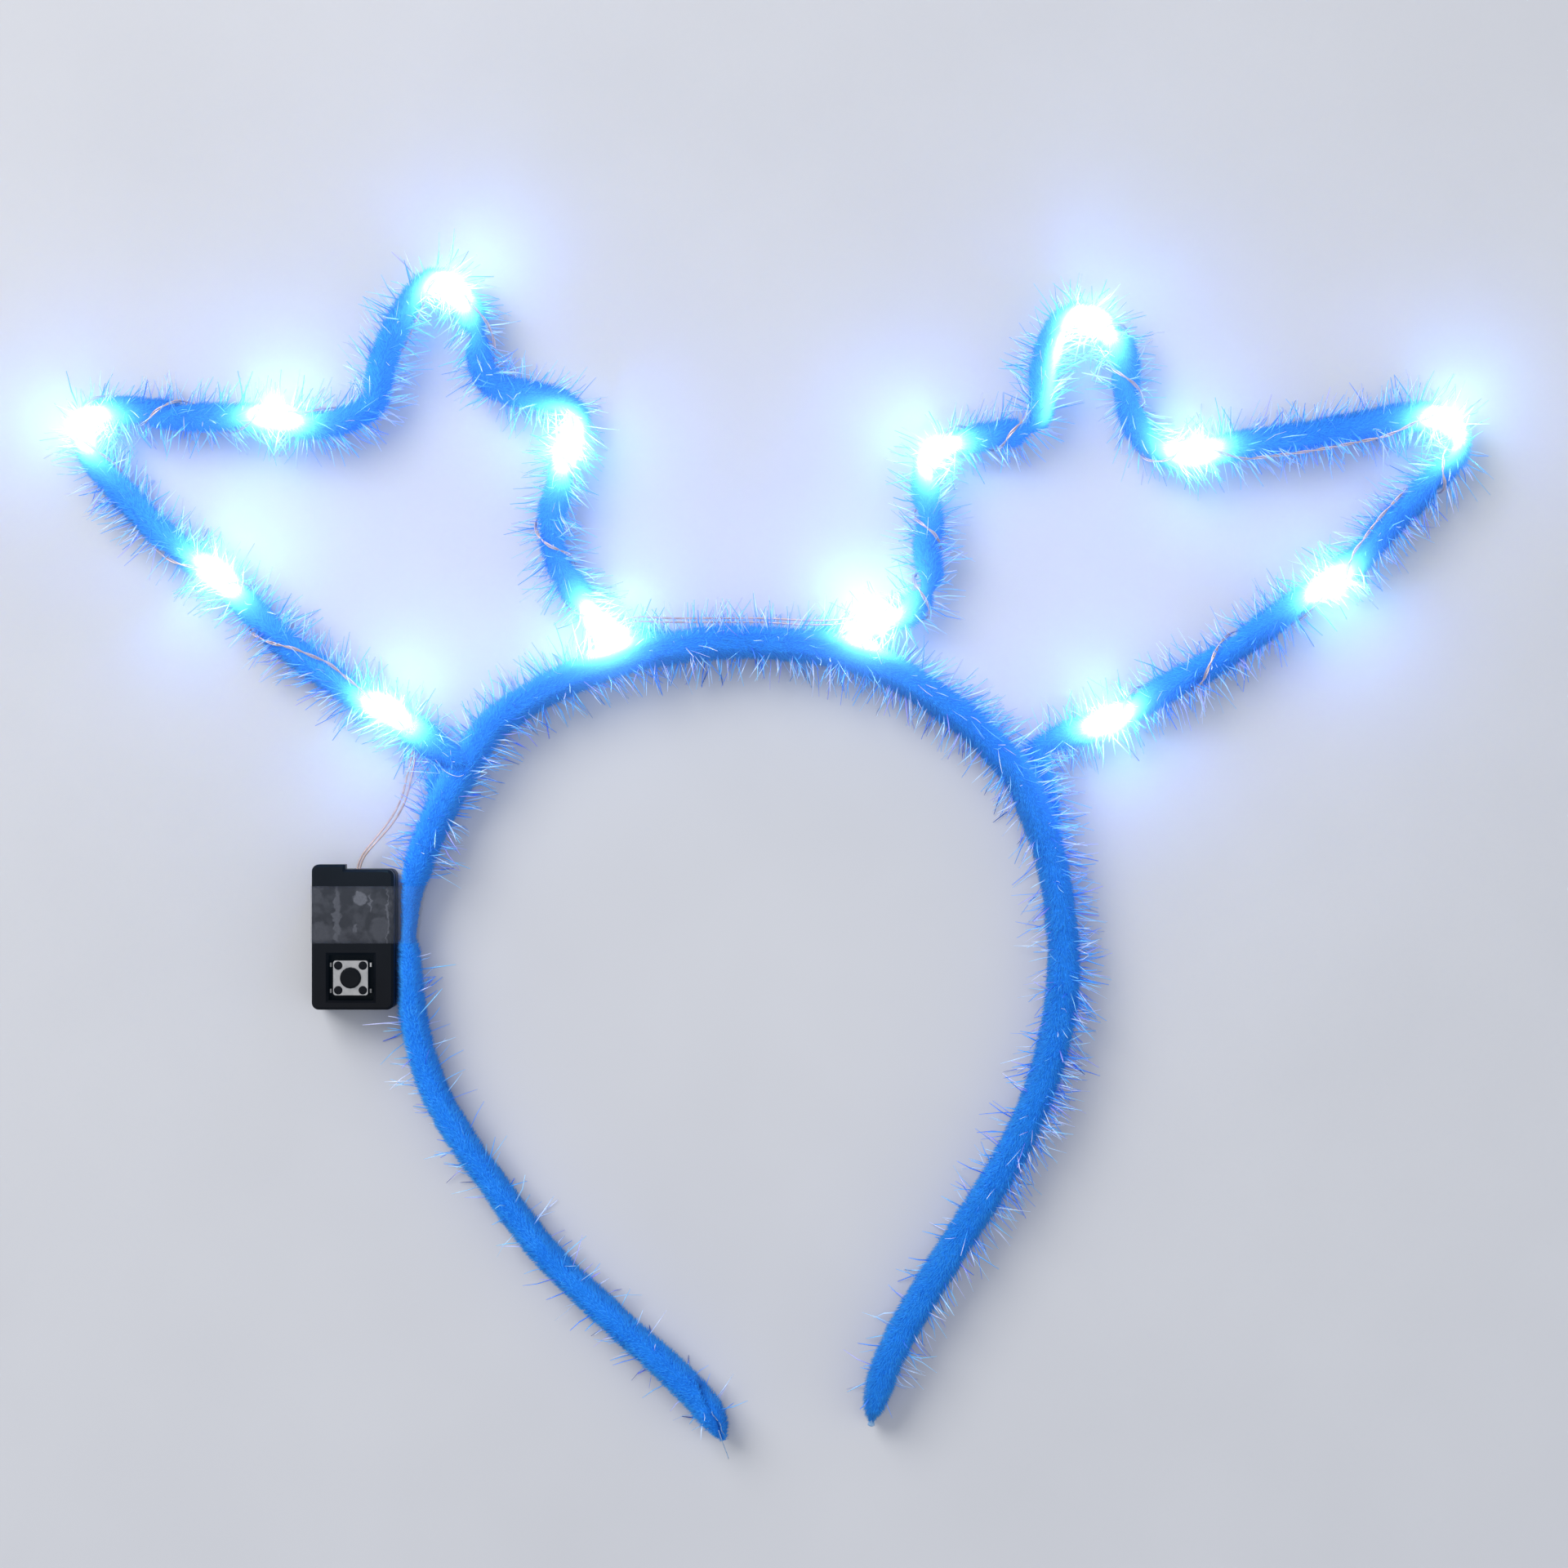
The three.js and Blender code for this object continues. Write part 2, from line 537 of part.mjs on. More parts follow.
function makeAntler(name, route) {
  const rings = placesOf(route, 2).map((place) => {
    const ring = [];
    for (let side = 0; side < STEM_SIDES; side += 1) {
      const angle = side * 360 / STEM_SIDES;
      ring.push(aroundStem(route, place, angle, stemRadius(route, place)));
    }
    return ring;
  });
  addPiece(name, loft(rings), PLUSH);
}

// The lights of a stem: each has its place, its middle and the way it points.
function beadsOf(route) {
  const beads = [];
  route.rows.forEach((row, place) => {
    if (row.bead) {
      const distance = stemRadius(route, place) + SEAT_GAP + BEAD_DIAMETER / 2;
      beads.push({
        place,
        angle: row.angle,
        distance,
        point: aroundStem(route, place, row.angle, distance),
        way: route.tangentAt(place),
      });
    }
  });
  return beads;
}

function makeBead(name, bead) {
  const profile = [
    { out: 0.00, along: -0.50 },
    { out: 0.62, along: -0.42 },
    { out: 0.92, along: -0.22 },
    { out: 1.00, along: 0.00 },
    { out: 0.92, along: 0.22 },
    { out: 0.62, along: 0.42 },
    { out: 0.00, along: 0.50 },
  ].map(({ out, along }) => new THREE.Vector2(out * BEAD_DIAMETER / 2, along * BEAD_LENGTH));
  const mesh = addPiece(name, closeUp(new THREE.LatheGeometry(profile, BEAD_SIDES)), CLEAR);
  mesh.position.copy(bead.point);
  mesh.quaternion.setFromUnitVectors(new THREE.Vector3(0, 1, 0), bead.way);
}

// The end of a bead where the wire leaves it, forwards with 1 and backwards with -1.
function beadEnd(bead, direction) {
  return bead.point.clone().addScaledVector(bead.way, direction * (BEAD_LENGTH / 2 + SEAT_GAP));
}

// Points of the wire wound round a stem, between two lengths along it.
function windingPoints(route, from, to, radius, beads) {
  const rest = BEAD_LENGTH / 2 + SEAT_GAP;
  const knots = [];
  route.rows.forEach((row, place) => {
    if (row.angle !== undefined) {
      const length = route.lengthAt(place);
      const half = row.bead ? rest : 0;
      knots.push({ length: length - half, angle: row.angle });
      knots.push({ length: length + half, angle: row.angle });
    }
  });
  const points = [];
  const count = Math.max(2, Math.round((to - from) / WINDING_STEP));
  for (let i = 0; i <= count; i += 1) {
    const length = from + (to - from) * i / count;
    const next = Math.max(1, knots.findIndex((knot) => knot.length >= length));
    const [low, high] = [knots[next - 1], knots[next]];
    const share = (length - low.length) / Math.max(high.length - low.length, 1e-6);
    const angle = THREE.MathUtils.lerp(low.angle, high.angle, THREE.MathUtils.clamp(share, 0, 1));
    const place = route.placeAtLength(length);
    let distance = stemRadius(route, place) + SEAT_GAP + radius;
    for (const bead of beads) {
      const away = Math.abs(length - route.lengthAt(bead.place)) - rest;
      const near = Math.max(0, 1 - Math.max(0, away) / BEAD_APPROACH) ** 2;
      distance = THREE.MathUtils.lerp(distance, bead.distance, near);
    }
    points.push(aroundStem(route, place, angle, distance));
  }
  return points;
}

// A wire through a list of points.
function wireGeometry(points, diameter, stepLength) {
  const curve = new THREE.CatmullRomCurve3(points);
  const corners = [];
  for (let side = 0; side < WIRE_SIDES; side += 1) {
    const angle = side * 2 * Math.PI / WIRE_SIDES;
    corners.push(new THREE.Vector2(Math.cos(angle), Math.sin(angle)).multiplyScalar(diameter / 2));
  }
  return closeUp(new THREE.ExtrudeGeometry(new THREE.Shape(corners), {
    steps: Math.ceil(curve.getLength() / stepLength),
    extrudePath: curve,
    bevelEnabled: false,
  }));
}

function makeLights(side, route) {
  const beads = beadsOf(route);
  beads.forEach((bead, i) => makeBead(`led_${side}_${i + 1}`, bead));
  const rest = BEAD_LENGTH / 2 + SEAT_GAP;
  for (let i = 0; i < beads.length - 1; i += 1) {
    const pair = [beads[i], beads[i + 1]];
    const from = route.lengthAt(pair[0].place) + rest;
    const to = route.lengthAt(pair[1].place) - rest;
    const inner = windingPoints(route, from, to, TWIN_DIAMETER / 2, pair).slice(1, -1);
    const points = [beadEnd(pair[0], 1), ...inner, beadEnd(pair[1], -1)];
    addPiece(`wire_${side}_${i + 1}`, wireGeometry(points, TWIN_DIAMETER, TWIN_STEP), COPPER);
  }
  return beads;
}

// The outline of a rectangle with round corners.
function roundedRectangle(width, height, corner, x = 0, y = 0) {
  const shape = new THREE.Shape();
  const [w, h] = [width / 2 - corner, height / 2 - corner];
  shape.absarc(x + w, y - h, corner, -Math.PI / 2, 0);
  shape.absarc(x + w, y + h, corner, 0, Math.PI / 2);
  shape.absarc(x - w, y + h, corner, Math.PI / 2, Math.PI);
  shape.absarc(x - w, y - h, corner, Math.PI, Math.PI * 3 / 2);
  return shape;
}

// A round bar along +Z between two heights.
function bar(diameter, x, y, bottom, top) {
  const height = top - bottom;
  const geometry = new THREE.CylinderGeometry(diameter / 2, diameter / 2, height, ROUND_SIDES);
  geometry.rotateX(Math.PI / 2);
  geometry.translate(x, y, bottom + height / 2);
  return closeUp(geometry);
}

function toManifold(geometry) {
  const closed = closeUp(geometry);
  return new wasm.Manifold(new wasm.Mesh({
    numProp: 3,
    vertProperties: new Float32Array(closed.getAttribute('position').array),
    triVerts: new Uint32Array(closed.index.array),
  }));
}

function fromManifold(solid) {
  const mesh = solid.getMesh();
  const geometry = new THREE.BufferGeometry();
  geometry.setAttribute('position', new THREE.BufferAttribute(mesh.vertProperties, 3));
  geometry.setIndex(new THREE.BufferAttribute(mesh.triVerts, 1));
  return closeUp(geometry);
}

// Where the box lies: against the outermost part of the band beside it.
function placeCase() {
  const middle = CASE_UP * BAND_HEIGHT;
  const beside = bandRoute.samples.filter(({ point, place }) => (
    place < bandRoute.last / 2 && Math.abs(point.y - middle) < CASE_HEIGHT / 2 + BAND_THICKNESS
  ));
  const outer = beside.map(({ place }) => Math.min(...bandRing(place).map((point) => point.x)));
  return {
    x: Math.min(...outer) - SEAT_GAP - CASE_WIDTH / 2,
    y: middle,
    back: TAPE_LIFT,
    split: TAPE_LIFT + BACK_DEPTH,
    front: TAPE_LIFT + CASE_DEPTH,
  };
}

const box = placeCase();
const LEAD_HOLE = 2 * STRAND_DIAMETER + 3 * SEAT_GAP;
const leadHole = { x: box.x + LEAD_ASIDE, y: box.y + CASE_HEIGHT / 2, z: box.back + BACK_DEPTH / 2 };

const BEVEL = {
  bevelSize: CASE_BEVEL,
  bevelThickness: CASE_BEVEL,
  bevelOffset: -CASE_BEVEL,
  bevelSegments: 1,
  curveSegments: 3,
};

function makeCase() {
  const outline = roundedRectangle(CASE_WIDTH, CASE_HEIGHT, CASE_CORNER, box.x, box.y);
  const back = new THREE.ExtrudeGeometry(outline, { ...BEVEL, depth: BACK_DEPTH - 2 * CASE_BEVEL });
  back.translate(0, 0, box.back + CASE_BEVEL);
  const hole = bar(LEAD_HOLE, 0, 0, -2 * LEAD_ROOT, 2 * LEAD_ROOT);
  hole.rotateX(Math.PI / 2);
  hole.translate(leadHole.x, leadHole.y, leadHole.z);
  const drilled = toManifold(back).subtract(toManifold(hole));
  addPiece('battery_case', fromManifold(drilled), BLACK_PLASTIC);
}

// The opening in the cover for the switch and its legs.
const SWITCH_WELL = SWITCH_SIZE + 2 * (LEG_THICKNESS + 2 * SEAT_GAP);
const switchAt = { x: box.x + SWITCH_ASIDE, y: box.y - SWITCH_DROP };

function makeCover() {
  const [left, right] = [box.x - CASE_WIDTH / 2, box.x + CASE_WIDTH / 2];
  const [low, high] = [box.y - CASE_HEIGHT / 2, box.y + CASE_HEIGHT / 2];
  const corner = CASE_CORNER;
  const shape = new THREE.Shape();
  shape.absarc(left + corner, low + corner, corner, Math.PI, Math.PI * 3 / 2);
  shape.absarc(right - corner, low + corner, corner, -Math.PI / 2, 0);
  shape.absarc(right - corner, high - corner, corner, 0, Math.PI / 2);
  shape.lineTo(left + TONGUE_WIDTH, high);
  shape.lineTo(left + TONGUE_WIDTH, high + TONGUE_REACH);
  shape.absarc(left + corner, high + TONGUE_REACH - corner, corner, Math.PI / 2, Math.PI);
  const half = SWITCH_WELL / 2;
  const well = new THREE.Path();
  well.moveTo(switchAt.x - half, switchAt.y - half);
  well.lineTo(switchAt.x - half, switchAt.y + half);
  well.lineTo(switchAt.x + half, switchAt.y + half);
  well.lineTo(switchAt.x + half, switchAt.y - half);
  shape.holes.push(well);
  const depth = CASE_DEPTH - BACK_DEPTH - PART_GAP;
  const cover = new THREE.ExtrudeGeometry(shape, { ...BEVEL, depth: depth - 2 * CASE_BEVEL });
  cover.translate(0, 0, box.split + PART_GAP + CASE_BEVEL);
  addPiece('battery_cover', closeUp(cover), BLACK_PLASTIC);
}

// Heights in the switch, from its seat on the back half of the box.
const plateTop = box.front + PLATE_PROUD;
const plateBottom = plateTop - PLATE_THICKNESS;
const bodyTop = plateBottom - RUNNING_GAP;
const flangeTop = plateBottom - RUNNING_GAP;
const flangeBottom = flangeTop - FLANGE_THICKNESS;
const wellBottom = flangeBottom - BUTTON_TRAVEL - RUNNING_GAP;
const bodyBottom = box.split + PART_GAP;
const pegOffset = SWITCH_SIZE / 2 - PEG_INSET - PEG_DIAMETER / 2;
const FLANGE_DIAMETER = BUTTON_DIAMETER + 2 * BUTTON_FLANGE;

function pegPlaces() {
  return CORNERS.map(({ right, up }) => ({
    x: switchAt.x + right * pegOffset,
    y: switchAt.y + up * pegOffset,
  }));
}

function makeSwitchBody() {
  const height = bodyTop - bodyBottom;
  const block = new THREE.BoxGeometry(SWITCH_SIZE, SWITCH_SIZE, height);
  block.translate(switchAt.x, switchAt.y, bodyBottom + height / 2);
  let body = toManifold(block);
  for (const { x, y } of pegPlaces()) {
    body = body.add(toManifold(bar(PEG_DIAMETER, x, y, bodyTop - LAP, plateTop + PEG_PROUD)));
  }
  const well = bar(
    FLANGE_DIAMETER + 2 * RUNNING_GAP, switchAt.x, switchAt.y, wellBottom, bodyTop + LAP,
  );
  addPiece('switch_body', fromManifold(body.subtract(toManifold(well))), BLACK_PLASTIC);
}

function circleHole(diameter, x, y) {
  const hole = new THREE.Path();
  for (let side = ROUND_SIDES; side > 0; side -= 1) {
    const angle = side * 2 * Math.PI / ROUND_SIDES;
    const [px, py] = [x + Math.cos(angle) * diameter / 2, y + Math.sin(angle) * diameter / 2];
    if (side === ROUND_SIDES) {
      hole.moveTo(px, py);
    } else {
      hole.lineTo(px, py);
    }
  }
  return hole;
}

function makeSwitchPlate() {
  const shape = roundedRectangle(SWITCH_SIZE, SWITCH_SIZE, PLATE_CORNER, switchAt.x, switchAt.y);
  for (const { x, y } of pegPlaces()) {
    shape.holes.push(circleHole(PEG_DIAMETER + 2 * RUNNING_GAP, x, y));
  }
  shape.holes.push(circleHole(BUTTON_DIAMETER + 2 * RUNNING_GAP, switchAt.x, switchAt.y));
  const plate = new THREE.ExtrudeGeometry(shape, {
    depth: PLATE_THICKNESS,
    bevelEnabled: false,
    curveSegments: 3,
  });
  plate.translate(0, 0, plateBottom);
  addPiece('switch_plate', closeUp(plate), TIN);
}

function makeSwitchButton() {
  const radius = BUTTON_DIAMETER / 2;
  const top = plateTop + BUTTON_PROUD - flangeBottom;
  const profile = [
    [0, 0],
    [FLANGE_DIAMETER / 2, 0],
    [FLANGE_DIAMETER / 2, FLANGE_THICKNESS],
    [radius, FLANGE_THICKNESS],
    [radius, top - BUTTON_CHAMFER],
    [radius - BUTTON_CHAMFER, top],
    [0, top],
  ].map(([out, up]) => new THREE.Vector2(out, up));
  const button = new THREE.LatheGeometry(profile, ROUND_SIDES);
  button.rotateX(Math.PI / 2);
  const mesh = addPiece('switch_button', closeUp(button), BLACK_PLASTIC);
  mesh.position.set(switchAt.x, switchAt.y, flangeBottom);
}

function makeSwitchLegs() {
  const height = bodyTop - bodyBottom;
  CORNERS.forEach(({ right, up }, i) => {
    const leg = new THREE.BoxGeometry(LEG_THICKNESS, LEG_WIDTH, height);
    const mesh = addPiece(`switch_leg_${i + 1}`, closeUp(leg), TIN);
    mesh.position.set(
      switchAt.x + right * (SWITCH_SIZE / 2 + SEAT_GAP + LEG_THICKNESS / 2),
      switchAt.y + up * LEG_SPREAD / 2,
      bodyBottom + height / 2,
    );
  });
}

// The tightest loop round a set of points, running anticlockwise. A bend that turns less than
// the slightest counts as straight.
const SLIGHTEST_TURN = 1e-3;
const GROWN_SIDES = 8;

function hullOf(points) {
  const sorted = [...points].sort((p, q) => p.x - q.x || p.y - q.y);
  const turn = (o, p, q) => (p.x - o.x) * (q.y - o.y) - (p.y - o.y) * (q.x - o.x);
  const chain = (list) => {
    const kept = [];
    for (const point of list) {
      while (kept.length > 1 && turn(kept.at(-2), kept.at(-1), point) <= SLIGHTEST_TURN) {
        kept.pop();
      }
      kept.push(point);
    }
    return kept.slice(0, -1);
  };
  return [...chain(sorted), ...chain(sorted.reverse())];
}

// The tape's loop, seen along the band: round the box and the band with a clearance.
function tapeLoop(clearance) {
  const middle = box.y + TAPE_OFFSET;
  const sides = [box.x - CASE_WIDTH / 2, box.x + CASE_WIDTH / 2];
  const held = sides.flatMap((x) => [new THREE.Vector2(x, box.back), new THREE.Vector2(x, box.front)]);
  for (const { place, point } of bandRoute.samples) {
    if (place < bandRoute.last / 2 && Math.abs(point.y - middle) < TAPE_WIDTH / 2 + LAP) {
      bandRing(place).forEach((corner) => held.push(new THREE.Vector2(corner.x, corner.z)));
    }
  }
  const grown = [];
  for (let side = 0; side < GROWN_SIDES; side += 1) {
    const angle = side * 2 * Math.PI / GROWN_SIDES;
    const away = new THREE.Vector2(Math.cos(angle), Math.sin(angle)).multiplyScalar(clearance);
    held.forEach((point) => grown.push(point.clone().add(away)));
  }
  return hullOf(grown);
}

function makeTape() {
  const shape = new THREE.Shape(tapeLoop(TAPE_GAP + TAPE_FILM));
  shape.holes.push(new THREE.Path(tapeLoop(TAPE_GAP)));
  const tape = new THREE.ExtrudeGeometry(shape, { depth: TAPE_WIDTH, bevelEnabled: false });
  tape.rotateX(Math.PI / 2);
  tape.translate(0, box.y + TAPE_OFFSET + TAPE_WIDTH / 2, 0);
  addPiece('tape_strip', closeUp(tape), FILM);
}

// The lead: two strands from the box, free at first, then round the stem's foot to the first
// light.
function makeLead(route, firstBead) {
  const rest = BEAD_LENGTH / 2 + SEAT_GAP;
  const beadLength = route.lengthAt(firstBead.place);
  const footLength = route.lengthAt(FOOT_ROWS.length);
  for (const strand of ['a', 'b']) {
    const side = strand === 'a' ? -1 : 1;
    const offset = side * (STRAND_DIAMETER + SEAT_GAP) / 2;
    const radius = STRAND_DIAMETER / 2;
    const start = new THREE.Vector3(leadHole.x + offset, leadHole.y - LEAD_ROOT, leadHole.z);
    const mouth = new THREE.Vector3(leadHole.x + offset, leadHole.y + LEAD_ROOT, leadHole.z);
    const wound = windingPoints(route, footLength, beadLength - rest, radius, [firstBead])
      .map((point) => point.addScaledVector(UP, offset));
    const free = LEAD_ROWS.map((row) => {
      const point = mouth.clone().lerp(wound[0], row.along);
      point.x += row[strand] * LEAD_BOW;
      return point;
    });
    const end = beadEnd(firstBead, -1).addScaledVector(UP, offset);
    const points = [start, mouth, ...free, ...wound.slice(0, -1), end];
    addPiece(`lead_wire_${strand}`, wireGeometry(points, STRAND_DIAMETER, LEAD_STEP), COPPER);
  }
}

// The two strands over the crown, between the antlers' inner feet.
function makeCrownWires(lastLeft, firstRight) {
  const ends = [beadEnd(lastLeft, 1), beadEnd(firstRight, -1)];
  const places = ends.map((end) => bandPlace(end.x / BAND_WIDTH));
  const middle = BAND_DEPTH / 2;
  for (const strand of ['a', 'b']) {
    const offset = (strand === 'a' ? 1 : -1) * (STRAND_DIAMETER + SEAT_GAP) / 2;
    const free = CROWN_ROWS.map((row) => {
      const place = THREE.MathUtils.lerp(places[0], places[1], row.along);
      const level = THREE.MathUtils.lerp(ends[0].z, ends[1].z, row.along);
      const height = THREE.MathUtils.lerp(middle, level, row.front);
      return besideBand(place, row[strand] * CROWN_SLACK, height);
    });
    const [start, end] = ends.map((point) => point.clone().add(new THREE.Vector3(0, offset, 0)));
    const points = [start, ...free, end];
    addPiece(`crown_wire_${strand}`, wireGeometry(points, STRAND_DIAMETER, CROWN_STEP), COPPER);
  }
}

makeBand();
const leftRoute = antlerRoute(
  FEET.leftOuter, FEET.leftInner, LEFT_ROWS, -1, LEFT_REACH, LEFT_RISE,
);
const rightRoute = antlerRoute(
  FEET.rightInner, FEET.rightOuter, RIGHT_ROWS, 1, RIGHT_REACH, RIGHT_RISE,
);
makeAntler('antler_left', leftRoute);
makeAntler('antler_right', rightRoute);
const leftBeads = makeLights('left', leftRoute);
const rightBeads = makeLights('right', rightRoute);
makeCase();
makeCover();
makeSwitchBody();
makeSwitchPlate();
makeSwitchButton();
makeSwitchLegs();
makeTape();
makeLead(leftRoute, leftBeads[0]);
makeCrownWires(leftBeads[leftBeads.length - 1], rightBeads[0]);

// The origin is under the middle of the whole piece, on the surface that it lies on.
const extent = new THREE.Box3().setFromObject(group);
const centre = extent.getCenter(new THREE.Vector3());
group.position.set(-centre.x, -centre.y, -extent.min.z);
group.updateMatrixWorld(true);

export default group;
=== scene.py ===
"""The looks of the reindeer antler headband that lights up: velvety pile with tinsel hairs on the band
and the antlers, a string of small glowing beads on copper wire, and a taped battery box.
Metres, +Z up. It lies flat: +X to its right, +Y from the tips of the band to the crown."""

import math

import bmesh
import bpy
import numpy as np
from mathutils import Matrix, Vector, noise
from mathutils.geometry import convex_hull_2d
from mathutils.kdtree import KDTree


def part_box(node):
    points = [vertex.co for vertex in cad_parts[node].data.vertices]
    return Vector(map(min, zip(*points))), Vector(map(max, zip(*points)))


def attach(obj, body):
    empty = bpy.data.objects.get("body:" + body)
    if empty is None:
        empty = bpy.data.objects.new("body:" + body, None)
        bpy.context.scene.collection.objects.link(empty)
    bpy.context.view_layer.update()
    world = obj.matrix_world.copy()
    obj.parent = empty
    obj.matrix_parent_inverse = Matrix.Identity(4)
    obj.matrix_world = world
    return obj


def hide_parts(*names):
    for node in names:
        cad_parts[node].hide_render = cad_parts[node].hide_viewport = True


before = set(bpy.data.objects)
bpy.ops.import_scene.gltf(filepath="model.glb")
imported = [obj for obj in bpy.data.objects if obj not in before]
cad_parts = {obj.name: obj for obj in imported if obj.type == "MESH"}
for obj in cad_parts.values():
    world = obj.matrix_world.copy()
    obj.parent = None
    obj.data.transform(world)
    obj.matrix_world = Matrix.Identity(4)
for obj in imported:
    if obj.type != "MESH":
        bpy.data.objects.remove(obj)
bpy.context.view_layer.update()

MM = 0.001
BODY = "band_and_antlers"
SEED = 20

# The photograph's view
CAMERA_HEIGHT = 700 * MM  # over the level of the stems and the band
CAMERA_LEVEL = 6 * MM
CAMERA_X = 2.25 * MM
CAMERA_Y = 12.7 * MM
VIEW_WIDTH = 272.6 * MM
SENSOR = 36.0

# The studio: name of a light, kind, place, power, colour, size, which is an angle for a sun
LAMPS = [
    ("key", "AREA", (-0.7, 0.7, 0.9), 14.0, (1.0, 0.98, 0.96), 0.8),
    ("fill", "AREA", (0.9, -0.3, 0.8), 2.6, (0.88, 0.94, 1.0), 1.0),
    ("top", "SUN", (0.0, 0.0, 1.6), 0.65, (1.0, 1.0, 1.0), math.radians(50)),
]
LAMP_SIZES = {"AREA": "size", "SUN": "angle", "POINT": "shadow_soft_size"}
SKY = (0.80, 0.86, 1.0, 1.0)
SKY_STRENGTH = 0.33
FLOOR_HALF = 6.0
FLOOR_LEVEL = -0.3 * MM
BLOOM = {"Threshold": 1.2, "Strength": 0.5, "Size": 0.45, "Smoothness": 0.2}

# The solids' own rings
BAND_SIDES = 12
STEM_SIDES = 8
RING_EDGE = 0.75 * MM  # longer than the edges across a wire, shorter than those along it

# The plush
SURFACE_STEP = 1.0 * MM  # between the rings of a plush surface
BAND_AROUND = 36  # faces round the band
STEM_AROUND = 28  # faces round a stem
PILE_DEPTH = 0.62 * MM  # from the solid's surface to the cloth under it
PILE_SHORT = 0.85 * MM
PILE_LONG = 1.20 * MM
PILE_WIDTH = 0.080 * MM  # from the middle of a fibre's foot to its corners
PILE_ROOT = 0.10 * MM  # of a fibre under the cloth
BAND_PILE = 50000  # fibres on each half of the band
STEM_PILE = 60000
END_PILE = 2600  # on the stem's bent end
# How they lie, along the surface and across it: mean, tufts, size of a tuft, its offset, spread
PILE_LEAN = (0.95, 0.40, 5.0 * MM, 7, 0.30)
PILE_SWAY = (0.0, 0.55, 3.0 * MM, 11, 0.30)
HAIR_LEAN = (0.30, 0.90, 9.0 * MM, 17, 0.30)
HAIR_SWAY = 0.30
LUMP = 0.20 * MM
LUMP_SIZES = (6.0 * MM, 2.2 * MM)
PRESS_DEPTH = 0.80 * MM  # of the cloth under a wire
PRESS_WIDTH = 1.10 * MM
PRESS_LEAST = 0.35  # share of its length that the pile keeps there
PRESS_FULL = PRESS_DEPTH * 1.3  # at which it would keep none
BEAD_PRESS = 0.55 * MM
BEAD_PRESS_WIDTH = 2.3 * MM
TOUCH_REACH = 3.2 * MM  # from other plush, over which the cloth comes up to it
TOUCH_SWELL = 0.10 * MM
TIP_LENGTH = 5.0 * MM  # over which the band's ends narrow
TIP_NARROW = 0.50 * MM
NEST_NEAR = 6.2 * MM  # between the middles of a foot and the band that lie together
NEST_FAR = 8.2 * MM
NEST_SHIFT = 1.2 * MM  # of a foot into the band's pile
FLOOR_CLEAR = 0.06 * MM
FRONT_LEAST = 0.15  # upward part of the normal of the cloth's front
HAIR_SHORT = 2.6 * MM  # the tinsel hairs, with what is in the pile
HAIR_LONG = 6.6 * MM
HAIR_WIDTH = 0.125 * MM
HAIR_ROOT = 0.15 * MM
HAIR_BEND = 0.22
BAND_HAIR = 9800  # places from which the hairs are picked
STEM_HAIR = 5300
END_HAIR = 70
# Along a hair, from root to tip: share of its length, bend, width
HAIR_ROWS = [
    (0.00, 0.00, 1.00),
    (0.55, 0.10, 0.90),
    (1.00, 0.42, 0.40),
]
HAIR_CORNERS = [(1.0, 0.0), (-0.5, 0.4), (-0.5, -0.4)]  # of a hair's flat section
HAIR_FRONT = 0.22  # share of the hairs that stand on the front and back
FRONT_FROM = 0.35  # upward part of the normal where the front begins
FRONT_OVER = 0.40  # and over which it begins
# How dense the band's hairs are, from its left tip to its right: share of its length, inside, outside
BAND_HAIRS = [
    (0.00, 0.00, 0.00),
    (0.02, 0.10, 0.10),
    (0.22, 0.08, 0.14),
    (0.34, 0.30, 0.60),
    (0.42, 0.55, 0.85),
    (0.58, 0.55, 0.85),
    (0.68, 0.36, 1.00),
    (0.84, 0.20, 1.00),
    (0.92, 0.12, 0.36),
    (0.985, 0.08, 0.12),
    (1.00, 0.00, 0.00),
]
HEAD_MIDDLE = (-4.8 * MM, -20.0 * MM, 5.0 * MM)  # the band's hairs stand inside or outside of it
# Where the wire is wound so tight that it pinches a stem, in mm: right, up, depth, reach along it
PINCHES = [
    (-52.9, 90.9, 0.95, 1.5),
    (45.1, 74.0, 1.00, 1.7),
    (25.7, 46.5, 0.80, 1.6),
    (-40.3, 53.9, 0.45, 1.8),
]
PINCH_NEAR = 4 * MM  # the most between a pinch and the middle of its stem

# The light string
ASKEW = (0.31, 0.17, 0.93)  # a direction in which no wire starts
DROP_ROWS = 25
DROP_SIDES = 20
DROP_NECK = 0.16  # share of its radius that a bead has at its ends
DROP_BLUNT = 0.62  # less makes its ends blunter
DROP_LUMP = 0.07
DROP_LUMP_SIZE = 1.7 * MM
DROP_GLOW = (1.15, 0.95)  # in its middle, where it is cut to 1, and how much less at its ends
DROP_POLE_GLOW = 0.1
STEM_STEP = 0.7 * MM  # between the points of a stem's middle line
STRAND_RADIUS = 0.14 * MM  # in a pair
STRAND_SPREAD = 0.165 * MM  # from the middle of the pair to the middle of a strand
FREE_RADIUS = 0.17 * MM  # of a strand that runs by itself
STRAND_SIDES = 6
STRAND_STEP = 0.6 * MM
LAY_LENGTH = 7.5 * MM  # of one turn of the pair
SINK = 0.85 * MM  # how far the pair lies deeper in the pile than its solid
